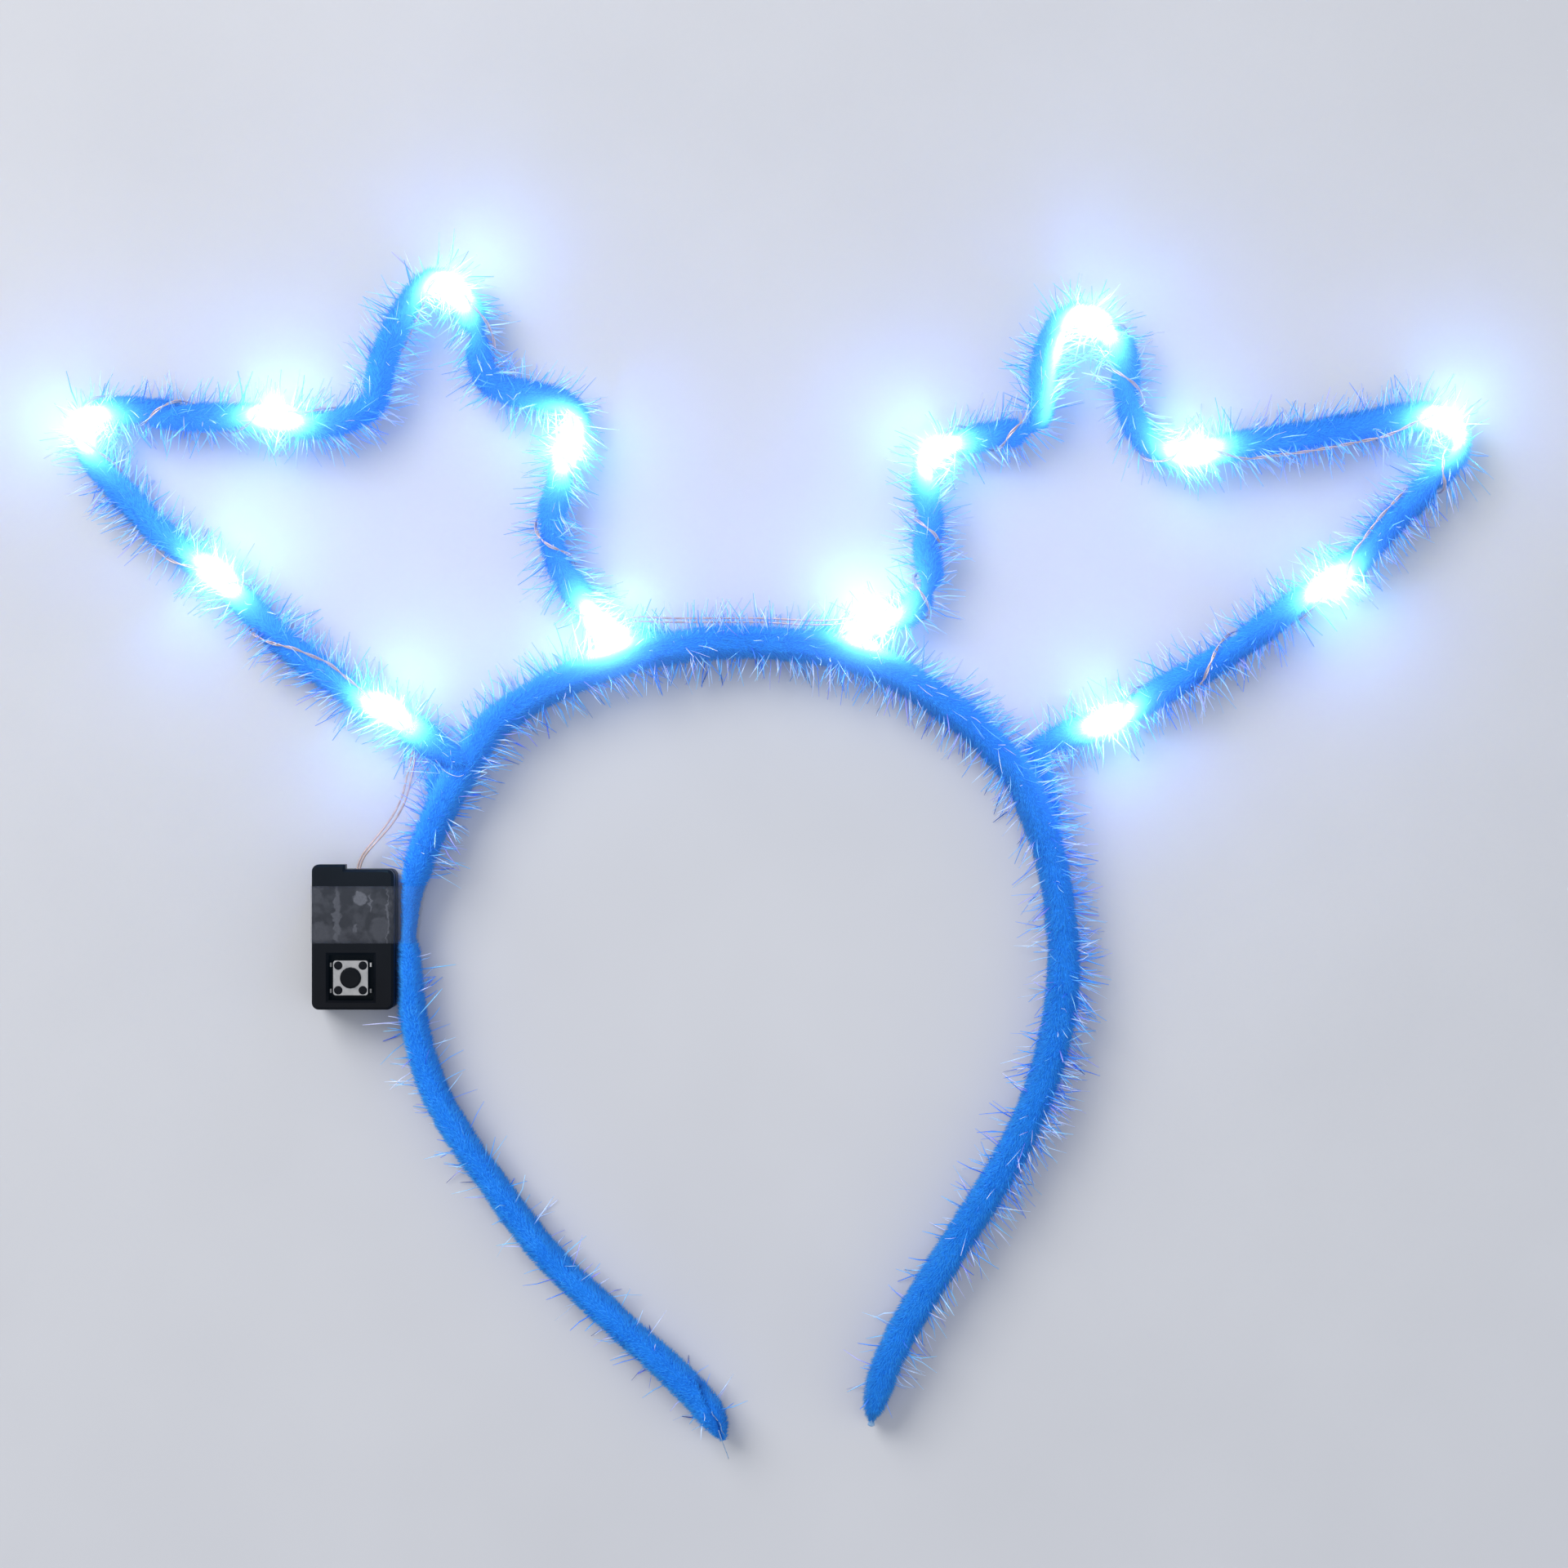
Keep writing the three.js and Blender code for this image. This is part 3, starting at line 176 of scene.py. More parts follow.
# The pair that lies on top of the pile, how deep it is sunk and how far it is turned to the front
SHOWN = "wire_right_4"
SHOWN_SINK = 0.40 * MM
SHOWN_TURN = math.radians(24)
BEAD_REACH = 3.0 * MM  # over which a pair rises to a bead
BEAD_NEAR = 1.5 * MM  # within which the end of a wire belongs to a bead
BEAD_INSIDE = 0.6 * MM  # of a wire's end in its bead
EASE_ROUNDS = 10  # of smoothing of the free strands
LEADS_CLOSE = 0.40  # share of their gap by which lead b is drawn to lead a
DIVE_START = 14.8 * MM  # where the leads, on their way up, go into the plush
DIVE_END = 17.6 * MM
DIVE_DEPTH = 1.9 * MM

# The light that the beads throw into the plush and hairs, painted into their emission as glow: the white-hot
# part and the blue glow round it
NEAR_REACH = 6.0 * MM
FAR_REACH = 9.0 * MM
NEAR_STRENGTH = 3.2
FAR_STRENGTH = 1.30
TONE_SHARES = (0.72, 0.28)  # of the near and the far light in the colour of the glow
NEAR_AWAY = 0.75  # share of the near light on a surface that faces away from a bead
FAR_WRAP = 0.30  # share of the far light on a surface that it grazes
DEEP_STRENGTH = 0.03  # painted glow in all of the cloth, standing for light scattered through it
PILE_STRENGTH = 0.06  # and painted glow in all of the fibres
HAIR_STRENGTH = 0.20  # and painted glow along all of the hairs
# Side of the right antler's top that its bead lights all the way down, painted as a streak of glow, in mm:
# right, up, height
LIT_SIDE = [(53.4, 92.4, 7.0), (51.0, 89.6, 7.0), (49.6, 85.8, 7.0), (48.9, 81.0, 7.0),
            (48.0, 75.6, 7.0)]
LIT_REACH = 2.1 * MM
LIT_STRENGTH = (0.62, 0.34)  # at its upper end and its lower end
# The light of each bead on what is round it
BEAD_POWER = 0.008
BEAD_COLOUR = (0.01, 0.05, 1.0)
BEAD_SIZE = 1.2 * MM

# Colours between stops, each a place and a colour
# Colours of the beads' light, painted as glow into the plush and hairs
LIGHT_TONES = [
    (0.00, (0.030, 0.19, 1.0)),
    (0.10, (0.060, 0.32, 1.0)),
    (0.20, (0.100, 0.52, 1.0)),
    (0.37, (0.26, 0.90, 1.0)),
    (0.58, (0.95, 1.0, 1.0)),
]
# The cloth's colours: the darkest stop is reached only along the seam's fold, as painted shade
CLOTH_TONES = [
    (0.0, (0.001, 0.025, 0.160)),
    (0.4, (0.006, 0.165, 0.640)),
    (1.0, (0.014, 0.235, 0.780)),
]
# The fibres' colours: the roots fall on the darker stops as painted shade, and the darkest stop is reached
# only in the seam's fold, also painted shade
PILE_TONES = [
    (0.0, (0.002, 0.035, 0.200)),
    (0.24, (0.012, 0.230, 0.760)),
    (0.55, (0.020, 0.300, 0.860)),
    (0.85, (0.045, 0.400, 0.950)),
    (1.0, (0.120, 0.570, 1.000)),
]
HAIR_TONES = [
    (0.0, (0.06, 0.20, 0.92)),
    (0.25, (0.06, 0.45, 1.0)),
    (0.5, (0.28, 0.78, 1.0)),
    (0.8, (0.90, 0.96, 1.0)),
    (1.0, (0.42, 0.32, 0.98)),
]
DROP_TONES = [(0.0, (0.02, 0.16, 1.0)), (0.5, (0.12, 0.52, 1.0)), (1.0, (0.40, 0.86, 1.0))]

# The switch
TURNED_SIDES = 40
BUTTON_RIM = 0.30 * MM  # width of the rim under the plate
BUTTON_RIM_HEIGHT = 0.50 * MM
BUTTON_BEVEL = 0.22 * MM
BUTTON_DISH = 0.06 * MM
DISH_ROWS = [(0.7, 0.5), (0.3, 1.0)]  # share of the button's radius, share of the dish's depth
BUTTON_HUB = 0.05 * MM  # radius at which its underside starts
PEG_OFFSET = 2.13 * MM
PEG_RADIUS = 0.68 * MM
PEG_DOME = 0.07 * MM
SHARP = math.radians(35)  # the least angle of an edge that stays sharp

# The tape
TAPE_ROWS = 15  # across its width
TAPE_AROUND = 150
TAPE_LOOSE = 0.10 * MM  # between the film and what it holds
TAPE_THICK = 0.12 * MM
TAPE_WAVE = 0.10 * MM
TAPE_WAVE_SIZE = 2.4 * MM
TAPE_ROUNDS = 3  # of smoothing
TAPE_PRESS = 0.5  # share of its length that the pile keeps under it
PILE_CLEAR = 0.2 * MM  # round it, within which the pile is pressed
HAIR_CLEAR = 0.5 * MM  # round it and over the box, where no hair stands
BOX_CLEAR = 0.4 * MM
# Cloudy spots of the tape over the box, in mm: right, up, half width, half height, strength
CLOUDS = [
    (-75.1, -9.9, 0.65, 5.0, 0.55),
    (-71.1, -7.2, 1.30, 1.3, 1.00),
    (-69.3, -7.9, 0.25, 1.9, 0.80),
    (-66.3, -10.0, 0.14, 5.2, 0.70),
    (-67.6, -12.4, 1.80, 2.4, 0.32),
    (-78.7, -6.5, 1.20, 1.8, 0.30),
    (-78.0, -12.9, 2.00, 1.9, 0.32),
    (-71.9, -12.2, 0.45, 0.5, 0.60),
]

# Fold of the cover at the band's left tip, seen from the front: right and up
SEAM = [(-11.87, -90.1), (-11.06, -93.2), (-10.15, -96.5), (-8.88, -98.5), (-8.0, -101.3)]
SEAM_DEPTH = 0.90 * MM
SEAM_WIDTH = 0.42 * MM
SEAM_EDGE = 0.075 * MM  # half the width of the raw edge in it
SEAM_OPEN = 0.50  # share of the fold from which the raw edge shows
SEAM_ABOVE = 0.16 * MM  # of the raw edge over the cloth
SEAM_WANDER = (0.25 * MM, 0.1 * MM, 0.06 * MM)  # of the raw edge: right, up, height
SEAM_WANDER_SIZE = 1.3 * MM
SEAM_STEP = 0.5 * MM
# Loose thread at the same tip: right, up, height
THREAD = [(-9.1, -99.4, 7.6), (-8.6, -101.0, 7.2), (-8.2, -102.3, 6.2), (-7.8, -103.6, 5.0),
          (-7.4, -104.9, 4.2)]
THREAD_RADIUS = 0.07 * MM
THREAD_STEP = 0.4 * MM
# Stub of the lining at the right tip, from inside the cover to its end: place along it, half width
LINING = [(-0.50, 0.25), (0.00, 0.50), (0.35, 0.64), (0.65, 0.62), (0.80, 0.42)]
LINING_SIDES = 16
LINING_FLATNESS = 0.45
LINING_STEP = 0.2 * MM
LINING_ROUGH = 0.05 * MM
LINING_GRAIN = 0.5 * MM

# End of the left antler's outer foot, bent over the band's front: right, up, height, half width
BENT_END = [
    (-63.1, 22.6, 4.0, 2.2),
    (-60.6, 21.0, 5.2, 2.3),
    (-58.3, 19.4, 6.4, 2.3),
    (-56.2, 17.9, 7.2, 2.2),
    (-54.4, 16.7, 7.5, 1.9),
    (-53.2, 15.9, 7.3, 1.1),
]
BENT_FLATNESS = 0.72
BENT_STEP = 0.8 * MM
BENT_SIDES = 10
BENT_AROUND = 20  # faces round its cloth
# Hair-thin end of the core wire round it: right and up
CORE_WIRE = [(-58.2, 16.9), (-57.3, 15.6), (-55.8, 14.5), (-54.2, 14.0), (-53.2, 14.3)]
CORE_ABOVE = 0.75 * MM


# Reading the solids

def welded(node):
    """The node's mesh as a bmesh with its split corners joined."""
    made = bmesh.new()
    made.from_mesh(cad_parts[node].data)
    bmesh.ops.remove_doubles(made, verts=made.verts, dist=1e-6)
    made.verts.index_update()
    return made


def hubs_of(mesh, edges):
    """The corners in which that many edges or more meet, such as the middle of a cap."""
    return [v for v in mesh.verts if len(v.link_edges) >= edges]


def layers_from(start):
    """The corners in layers, each one edge further from the start."""
    layer, seen, layers = set(start), set(start), []
    while layer:
        layers.append(sorted(layer, key=lambda v: v.index))
        layer = {e.other_vert(v) for v in layer for e in v.link_edges} - seen
        seen |= layer
    return layers


def rings_of(node, sides):
    """The rings of a tube whose caps have a middle corner, in order and turned alike."""
    mesh = welded(node)
    hub = min(hubs_of(mesh, sides), key=lambda v: v.co.x)
    layers = layers_from([hub])
    rings = [np.array([v.co for v in layer]) for layer in layers if len(layer) == sides]
    mesh.free()
    middles = np.array([ring.mean(axis=0) for ring in rings])
    ways = unit(np.gradient(middles, axis=0))
    before, ordered = 0.0, []
    for ring, middle, way in zip(rings, middles, ways):
        side = unit(np.cross(way, (0, 0, 1)))
        up = np.cross(side, way)
        angles = np.arctan2((ring - middle) @ up, (ring - middle) @ side)
        turned = np.argsort(angles)
        ring, angles = ring[turned], angles[turned]
        first = int(np.argmin(np.abs(wrap(angles - before))))
        before = angles[first]
        ordered.append(np.roll(ring, -first, axis=0))
    return np.array(ordered)


def line_of(node):
    """The middle line of a wire, from the cap at one of its ends. A cap's faces have short edges
    alone."""
    mesh = welded(node)
    caps = {v for f in mesh.faces if all(e.calc_length() < RING_EDGE for e in f.edges) for v in f.verts}
    caps = [v for v in mesh.verts if v in caps]
    other = next(v for v in caps if (v.co - caps[0].co).length > RING_EDGE)
    start = min(caps[0], other, key=lambda v: v.co.x)
    layers = layers_from([v for v in caps if (v.co - start.co).length < RING_EDGE])
    line = np.array([np.mean([v.co for v in layer], axis=0) for layer in layers])
    mesh.free()
    return line


# Numbers and curves

def unit(rows):
    """The rows at length 1."""
    rows = np.asarray(rows, dtype=float)
    return rows / np.maximum(np.linalg.norm(rows, axis=-1, keepdims=True), 1e-12)


def wrap(angles):
    """Angles brought to within half a turn of 0."""
    return (angles + math.pi) % (2 * math.pi) - math.pi


def smooth(rows, places, closed=False):
    """Rows read at places between them, on a smooth curve through them."""
    count = len(rows)
    first = np.floor(places).astype(int)
    if not closed:
        first = np.clip(first, 0, count - 2)
    part = (places - first).reshape((-1,) + (1,) * (rows.ndim - 1))
    index = first[:, None] + np.arange(-1, 3)
    index = index % count if closed else np.clip(index, 0, count - 1)
    a, b, c, d = (rows[index[:, k]] for k in range(4))
    return b + 0.5 * part * (c - a + part * (2 * a - 5 * b + 4 * c - d + part * (3 * (b - c) + d - a)))


def run_of(line):
    """The length of a line up to each of its points."""
    return np.concatenate([[0], np.cumsum(np.linalg.norm(np.diff(line, axis=0), axis=1))])


def evened(line, step):
    """The line with points about a step apart, on a smooth curve."""
    fine = smooth(line, np.linspace(0, len(line) - 1, 20 * len(line)))
    run = run_of(fine)
    count = max(2, round(run[-1] / step) + 1)
    places = np.linspace(0, run[-1], count)
    return np.stack([np.interp(places, run, fine[:, k]) for k in range(3)], axis=1)


def rough(points, size, offset=0.0):
    """Noise at the points, about -1 to 1, with blots of the given size."""
    flat = points.reshape(-1, 3) / size
    values = [noise.noise(Vector((x + offset, y - offset, z + offset))) for x, y, z in flat]
    return np.array(values).reshape(points.shape[:-1])


def tree_of(points):
    """The points sorted for a quick search."""
    tree = KDTree(len(points))
    for number, point in enumerate(points):
        tree.insert(point, number)
    tree.balance()
    return tree


def nearest(points, targets):
    """The distance from each point to its nearest target."""
    tree = tree_of(targets)
    found = np.array([tree.find(point)[2] for point in points.reshape(-1, 3)])
    return found.reshape(points.shape[:-1])


def relaxed(line, rounds):
    """The line with its kinks softened and its ends kept."""
    line = line.copy()
    for _ in range(rounds):
        line[1:-1] = (line[:-2] + 2 * line[1:-1] + line[2:]) / 4
    return line


def ease(share):
    """0 to 1 with a soft start and end."""
    share = np.clip(share, 0, 1)
    return share * share * (3 - 2 * share)


def above_floor(points):
    """The points, with those under the floor brought up to it."""
    points[..., 2] = np.maximum(points[..., 2], FLOOR_CLEAR)
    return points


# Making pieces

def mesh_of(name, points, *faces, soft=True, marks=None):
    """A mesh of points and of face tables, each with a row of corners for a face."""
    mesh = bpy.data.meshes.new(name)
    points = np.asarray(points, dtype=np.float32).reshape(-1, 3)
    mesh.vertices.add(len(points))
    mesh.vertices.foreach_set("co", points.ravel())
    corners = np.concatenate([np.asarray(f).ravel() for f in faces]).astype(np.int32)
    sizes = np.concatenate([np.full(len(f), np.asarray(f).shape[1]) for f in faces])
    starts = np.concatenate([[0], np.cumsum(sizes)[:-1]]).astype(np.int32)
    mesh.loops.add(len(corners))
    mesh.loops.foreach_set("vertex_index", corners)
    mesh.polygons.add(len(sizes))
    mesh.polygons.foreach_set("loop_start", starts)
    for mark, values in (marks or {}).items():
        made = mesh.attributes.new(mark, "FLOAT", "POINT")
        made.data.foreach_set("value", np.asarray(values, dtype=np.float32).ravel())
    mesh.update(calc_edges=True)
    if soft:
        mesh.shade_smooth()
    mesh.validate()
    return mesh


def linked(name, data):
    """A new object in the scene."""
    made = bpy.data.objects.new(name, data)
    bpy.context.scene.collection.objects.link(made)
    return made


def put(mesh, look, stands_for=(), body=BODY):
    """A piece of the object, named like its mesh, with its look, on its body."""
    made = linked(mesh.name, mesh)
    mesh.materials.append(look)
    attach(made, body)
    if stands_for:
        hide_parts(*stands_for)
    return made


def tube_faces(rings, around, first=0):
    """The faces of a closed tube: its quads and the triangles of its two caps.
    The middles of the caps follow the rings."""
    i, j = np.meshgrid(np.arange(rings - 1), np.arange(around), indexing="ij")
    here, beside = i * around + j, i * around + (j + 1) % around
    quads = np.stack([here, beside, beside + around, here + around], axis=-1).reshape(-1, 4)
    turn = np.arange(around)
    last = (rings - 1) * around
    start_hub, end_hub = rings * around, rings * around + 1
    caps = np.concatenate([
        np.stack([np.full(around, start_hub), (turn + 1) % around, turn], axis=1),
        np.stack([np.full(around, end_hub), last + turn, last + (turn + 1) % around], axis=1),
    ])
    return quads + first, caps + first


def with_hubs(grid):
    """The points of a tube's rings, and then the middles of its two end rings."""
    return np.concatenate([grid.reshape(-1, 3), [grid[0].mean(axis=0), grid[-1].mean(axis=0)]])


def put_tube(name, grid, look, stands_for=(), body=BODY, marks=None):
    """A piece that is a closed tube through rings of points."""
    mesh = mesh_of(name, with_hubs(grid), *tube_faces(*grid.shape[:2]), marks=marks)
    return put(mesh, look, stands_for, body)


def across(line):
    """For each point of a line two directions across it that don't turn about it."""
    ways = unit(np.gradient(line, axis=0))
    side = np.zeros_like(line)
    side[0] = unit(np.cross(ways[0], ASKEW))
    for k in range(1, len(line)):
        side[k] = unit(side[k - 1] - ways[k] * (side[k - 1] @ ways[k]))
    return side, np.cross(ways, side)


def tube(line, radii, sides):
    """The rings of points round a line."""
    side, over = (rows[:, None, :] for rows in across(line))
    turn = np.linspace(0, 2 * math.pi, sides, endpoint=False)[None, :, None]
    spoke = np.cos(turn) * side + np.sin(turn) * over
    return line[:, None, :] + spoke * np.broadcast_to(radii, (len(line),))[:, None, None]


def flattened(grid, line, share):
    """A tube's rings with a share of their height."""
    level = line[:, None, 2:]
    grid[..., 2:] = level + (grid[..., 2:] - level) * share
    return grid


def put_line(name, line, radius, look, stands_for=()):
    """A wire or thread along a line."""
    put_tube(name, tube(line, radius, STRAND_SIDES), look, stands_for)


# The looks

class Look:
    """A material whose nodes lead into one shader."""

    def __init__(self, name, **values):
        self.material = bpy.data.materials.new(name)
        self.material.use_nodes = True
        self.tree = self.material.node_tree
        self.shader = self.tree.nodes["Principled BSDF"]
        for key, value in values.items():
            self.set(key.replace("_", " "), value)

    def feed(self, socket, value):
        """Sets a socket, or links another node's output to it."""
        if isinstance(value, bpy.types.NodeSocket):
            self.tree.links.new(value, socket)
        else:
            socket.default_value = value

    def set(self, socket, value):
        """Sets one of the shader's sockets. A tuple is a colour."""
        self.feed(self.shader.inputs[socket], (*value, 1.0) if isinstance(value, tuple) else value)

    def node(self, kind, *values, settings=None, **inputs):
        """Adds a node with inputs in order or by name: numbers, tuples or other nodes' outputs."""
        made = self.tree.nodes.new("ShaderNode" + kind)
        for key, value in (settings or {}).items():
            setattr(made, key, value)
        for number, value in enumerate(values):
            self.feed(made.inputs[number], value)
        for key, value in inputs.items():
            self.feed(made.inputs[key.replace("_", " ")], value)
        return made

    def mark(self, name):
        """A number that the mesh carries at its points."""
        return self.node("Attribute", settings={"attribute_name": name}).outputs["Fac"]

    def blots(self, size, detail=3.0, roughness=0.55, stretch=None):
        """Noise with blots of that size in metres."""
        place = self.node("TexCoord").outputs["Object"]
        if stretch:
            place = self.node("Mapping", Vector=place, Scale=stretch).outputs["Vector"]
        made = self.node("TexNoise", Vector=place, Scale=1 / size, Detail=detail, Roughness=roughness)
        return made.outputs["Fac"]

    def ramp(self, socket, value, stops):
        """Gives one of the shader's sockets colours between stops."""
        made = self.node("ValToRGB", value)
        bar = made.color_ramp.elements
        while len(bar) < len(stops):
            bar.new(0.5)
        for spot, (place, colour) in zip(bar, stops):
            spot.position = place
            spot.color = (*colour, 1.0)
        self.set(socket, made.outputs["Color"])

    def span(self, value, low, high, new_low=0.0, new_high=1.0):
        """The value moved from one range to another."""
        return self.node("MapRange", value, low, high, new_low, new_high).outputs["Result"]

    def sum(self, a, b, kind="ADD"):
        """Two values, added or put together another way."""
        return self.node("Math", a, b, settings={"operation": kind}).outputs[0]

    def vector(self, kind, *values):
        """A step of arithmetic on vectors."""
        return self.node("VectorMath", *values, settings={"operation": kind})

    def lit(self, least):
        """The light of the beads in plush and hairs, painted into their emission from how near each point is
        to a bead. The least painted glow is there everywhere."""
        near, far = self.mark("near"), self.mark("far")
        both = self.sum(*(self.span(part, 0, 1, 0, share) for part, share in zip((near, far), TONE_SHARES)))
        self.ramp("Emission Color", both, LIGHT_TONES)
        self.set("Emission Strength", self.sum(self.span(near, 0, 1, 0, NEAR_STRENGTH),
                                               self.span(far, 0, 1, least, FAR_STRENGTH)))
        self.material.cycles.emission_sampling = "NONE"

    def spot(self, place, cloud):
        """A soft-edged spot of the given place, half sizes and strength, in mm."""
        right, up, half_width, half_height, strength = cloud
        gap = self.vector("SUBTRACT", place, (right * MM, up * MM, 0)).outputs[0]
        gap = self.vector("MULTIPLY", gap, (1 / (half_width * MM), 1 / (half_height * MM), 0)).outputs[0]
        return self.span(self.vector("LENGTH", gap).outputs["Value"], 0.75, 1.15, strength, 0.0)

    def bump(self, height, strength, distance):
        """Small relief."""
        made = self.node("Bump", Height=height, Strength=strength, Distance=distance)
        self.set("Normal", made.outputs["Normal"])


def plush_cloth():
    """The cloth under the pile, seen between its fibres."""
    look = Look("plush_cloth", Roughness=0.92, Specular_IOR_Level=0.2, Sheen_Weight=0.30,
                Sheen_Roughness=0.5, Sheen_Tint=(0.20, 0.60, 1.0))
    tone = look.sum(look.blots(5 * MM), look.blots(0.9 * MM), "MULTIPLY")
    # Painted shade: the cloth darker along the seam's fold
    tone = look.sum(look.span(tone, 0.1, 0.5, 0.4, 1.0), look.span(look.mark("fold"), 0, 1, 0.0, -0.50))
    look.ramp("Base Color", tone, CLOTH_TONES)
    look.bump(look.blots(0.35 * MM), 0.5, 0.15 * MM)
    # Painted light: the beads' glow in the cloth's emission, and a faint glow all over it
    look.lit(DEEP_STRENGTH)
    return look.material


def plush_pile():
    """The fibres of the pile: darker at the root, which is painted shade, paler at the tip, each a little
    different.
    """
    look = Look("plush_pile", Roughness=0.75, Specular_IOR_Level=0.2, Sheen_Weight=0.35,
                Sheen_Roughness=0.4, Sheen_Tint=(0.25, 0.65, 1.0))
    blots = look.span(look.blots(4 * MM), 0.3, 0.7, -0.12, 0.12)
    tone = look.sum(look.span(look.mark("tone"), 0, 1, 0.32, 0.50), blots)
    # Painted shade: darker towards the fibres' roots, paler at their tips
    tone = look.sum(tone, look.span(look.mark("tip"), 0, 1, 0.0, 0.40))
    # Painted shade: the fibres darker along the seam's fold
    tone = look.sum(tone, look.span(look.mark("fold"), 0, 1, 0.0, -0.50))
    look.ramp("Base Color", tone, PILE_TONES)
    # Painted light: the beads' glow in the fibres' emission, and a faint glow all over them
    look.lit(PILE_STRENGTH)
    return look.material


def tinsel():
    """Thin bright film cut into hairs, between silver, cyan and violet."""
    look = Look("tinsel", Metallic=0.12, Roughness=0.28, Specular_IOR_Level=0.7)
    look.ramp("Base Color", look.mark("tone"), HAIR_TONES)
    # Painted light: the beads' glow in the hairs' emission, and a faint glow on all of them
    look.lit(HAIR_STRENGTH)
    return look.material


def glowing_drop():
    """Clear resin lit from inside, brightest round the chip."""
    look = Look("glowing_drop", Base_Color=(0.75, 0.93, 1.0), Roughness=0.12, Coat_Weight=0.6,
                Coat_Roughness=0.08, IOR=1.5)
    look.ramp("Emission Color", look.mark("glow"), DROP_TONES)
    look.set("Emission Strength", look.span(look.mark("glow"), 0, 1, 6.0, 60.0))
    return look.material


def blotted(name, size, dark, pale, relief=None, **values):
    """A surface in blots between two colours. Its relief is a size, a strength and a depth."""
    look = Look(name, **values)
    look.ramp("Base Color", look.blots(size), [(0.3, dark), (0.7, pale)])
    if relief:
        grain, strength, depth = relief
        look.bump(look.blots(grain), strength, depth)
    return look.material


def black_plastic(name, tone, roughness):
    """Moulded plastic with fine grain, faint dust and rubbed spots."""
    look = Look(name, Specular_IOR_Level=0.06)
    worn = look.blots(7 * MM, 5.0, 0.6)
    look.ramp("Base Color", worn, [(0.35, [0.55 * part for part in tone]), (0.75, tone)])
    look.set("Roughness", look.span(worn, 0.3, 0.7, roughness - 0.07, roughness + 0.10))
    look.bump(look.blots(0.22 * MM, 2.0), 0.18, 0.03 * MM)
    return look.material


def tinned_sheet(name, bright):
    """Bright sheet, brushed one way, with small dull spots."""
    look = Look(name, Metallic=1.0)
    grain = look.blots(0.5 * MM, 2.0, stretch=(1.0, 14.0, 1.0))
    tones = [(0.3, (0.82, 0.83, 0.85)), (0.6, (1.0, 1.0, 1.01))]
    tones = [(place, [bright * part for part in tone]) for place, tone in tones]
    look.ramp("Base Color", look.blots(1.1 * MM), tones)
    look.set("Roughness", look.span(grain, 0.3, 0.7, 0.30, 0.42))
    look.bump(grain, 0.15, 0.01 * MM)
    return look.material


def clear_film():
    """Adhesive film: clear, with cloudy spots over the box where it doesn't hold."""
    look = Look("clear_film", Base_Color=(0.21, 0.22, 0.26), Roughness=0.20, IOR=1.45,
                Specular_IOR_Level=0.3)
    place = look.node("TexCoord").outputs["Object"]
    shake = look.node("TexNoise", Vector=place, Scale=1 / (1.2 * MM), Detail=4.0).outputs["Color"]
    shake = look.vector("MULTIPLY_ADD", shake, (2.2 * MM, 2.2 * MM, 0), (-1.1 * MM, -1.1 * MM, 0))
    place = look.vector("ADD", place, shake.outputs[0]).outputs[0]
    cloudy = look.span(look.blots(2.2 * MM, 4.0), 0.46, 0.60, 0.10, 0.26)
    for cloud in CLOUDS:
        cloudy = look.sum(cloudy, look.spot(place, cloud), "MAXIMUM")
    cloudy = look.sum(cloudy, look.span(look.blots(0.35 * MM), 0.3, 0.7, 0.70, 1.15), "MULTIPLY")
    cloudy = look.sum(cloudy, look.mark("on_box"), "MULTIPLY")
    look.set("Alpha", look.span(cloudy, 0, 1, 0.04, 0.42))
    look.bump(cloudy, 0.25, 0.08 * MM)
    return look.material


CLOTH = plush_cloth()
PILE = plush_pile()
TINSEL = tinsel()
DROP = glowing_drop()
# Enamelled copper, the pale raw edge of the cover, and a hair-thin bright wire
COPPER = blotted("copper", 1.6 * MM, (0.58, 0.41, 0.36), (0.82, 0.65, 0.60), (0.2 * MM, 0.2, 0.02 * MM),
                 Metallic=0.60, Roughness=0.34, Coat_Weight=0.3, Coat_Roughness=0.2)
FRAY = blotted("fray", 0.8 * MM, (0.12, 0.30, 0.56), (0.38, 0.56, 0.76), (0.15 * MM, 0.4, 0.04 * MM),
               Roughness=0.85, Sheen_Weight=0.3)
BRIGHT = blotted("bright_hair", 1.0 * MM, (0.45, 0.55, 0.90), (0.82, 0.86, 0.98), Metallic=0.6, Roughness=0.3)
CASE_BLACK = black_plastic("case_black", (0.006, 0.006, 0.008), 0.34)
BUTTON_BLACK = black_plastic("button_black", (0.006, 0.006, 0.007), 0.44)
TIN = tinned_sheet("tinned_sheet", 0.31)
# A darker copy of the tin: painted shade for the legs that lie in the dark
SHADED_TIN = tinned_sheet("shaded_tin", 0.12)
FILM = clear_film()


# The light beads

def poles_of(node):
    """The two ends of a bead and its largest radius."""
    mesh = welded(node)
    a, b = (np.array(v.co) for v in hubs_of(mesh, 8)[:2])
    axis = unit(b - a)
    middle = (a + b) / 2
    spread = [np.array(v.co) - middle for v in mesh.verts]
    radius = max(np.linalg.norm(s - axis * (s @ axis)) for s in spread)
    mesh.free()
    return a, b, radius


LIGHTS = [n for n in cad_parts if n.startswith("led_")]
POLES = {node: poles_of(node) for node in LIGHTS}
BEADS = np.array([(a + b) / 2 for a, b, _ in POLES.values()])
BEAD_ENDS = np.array([end for a, b, _ in POLES.values() for end in (a, b)])


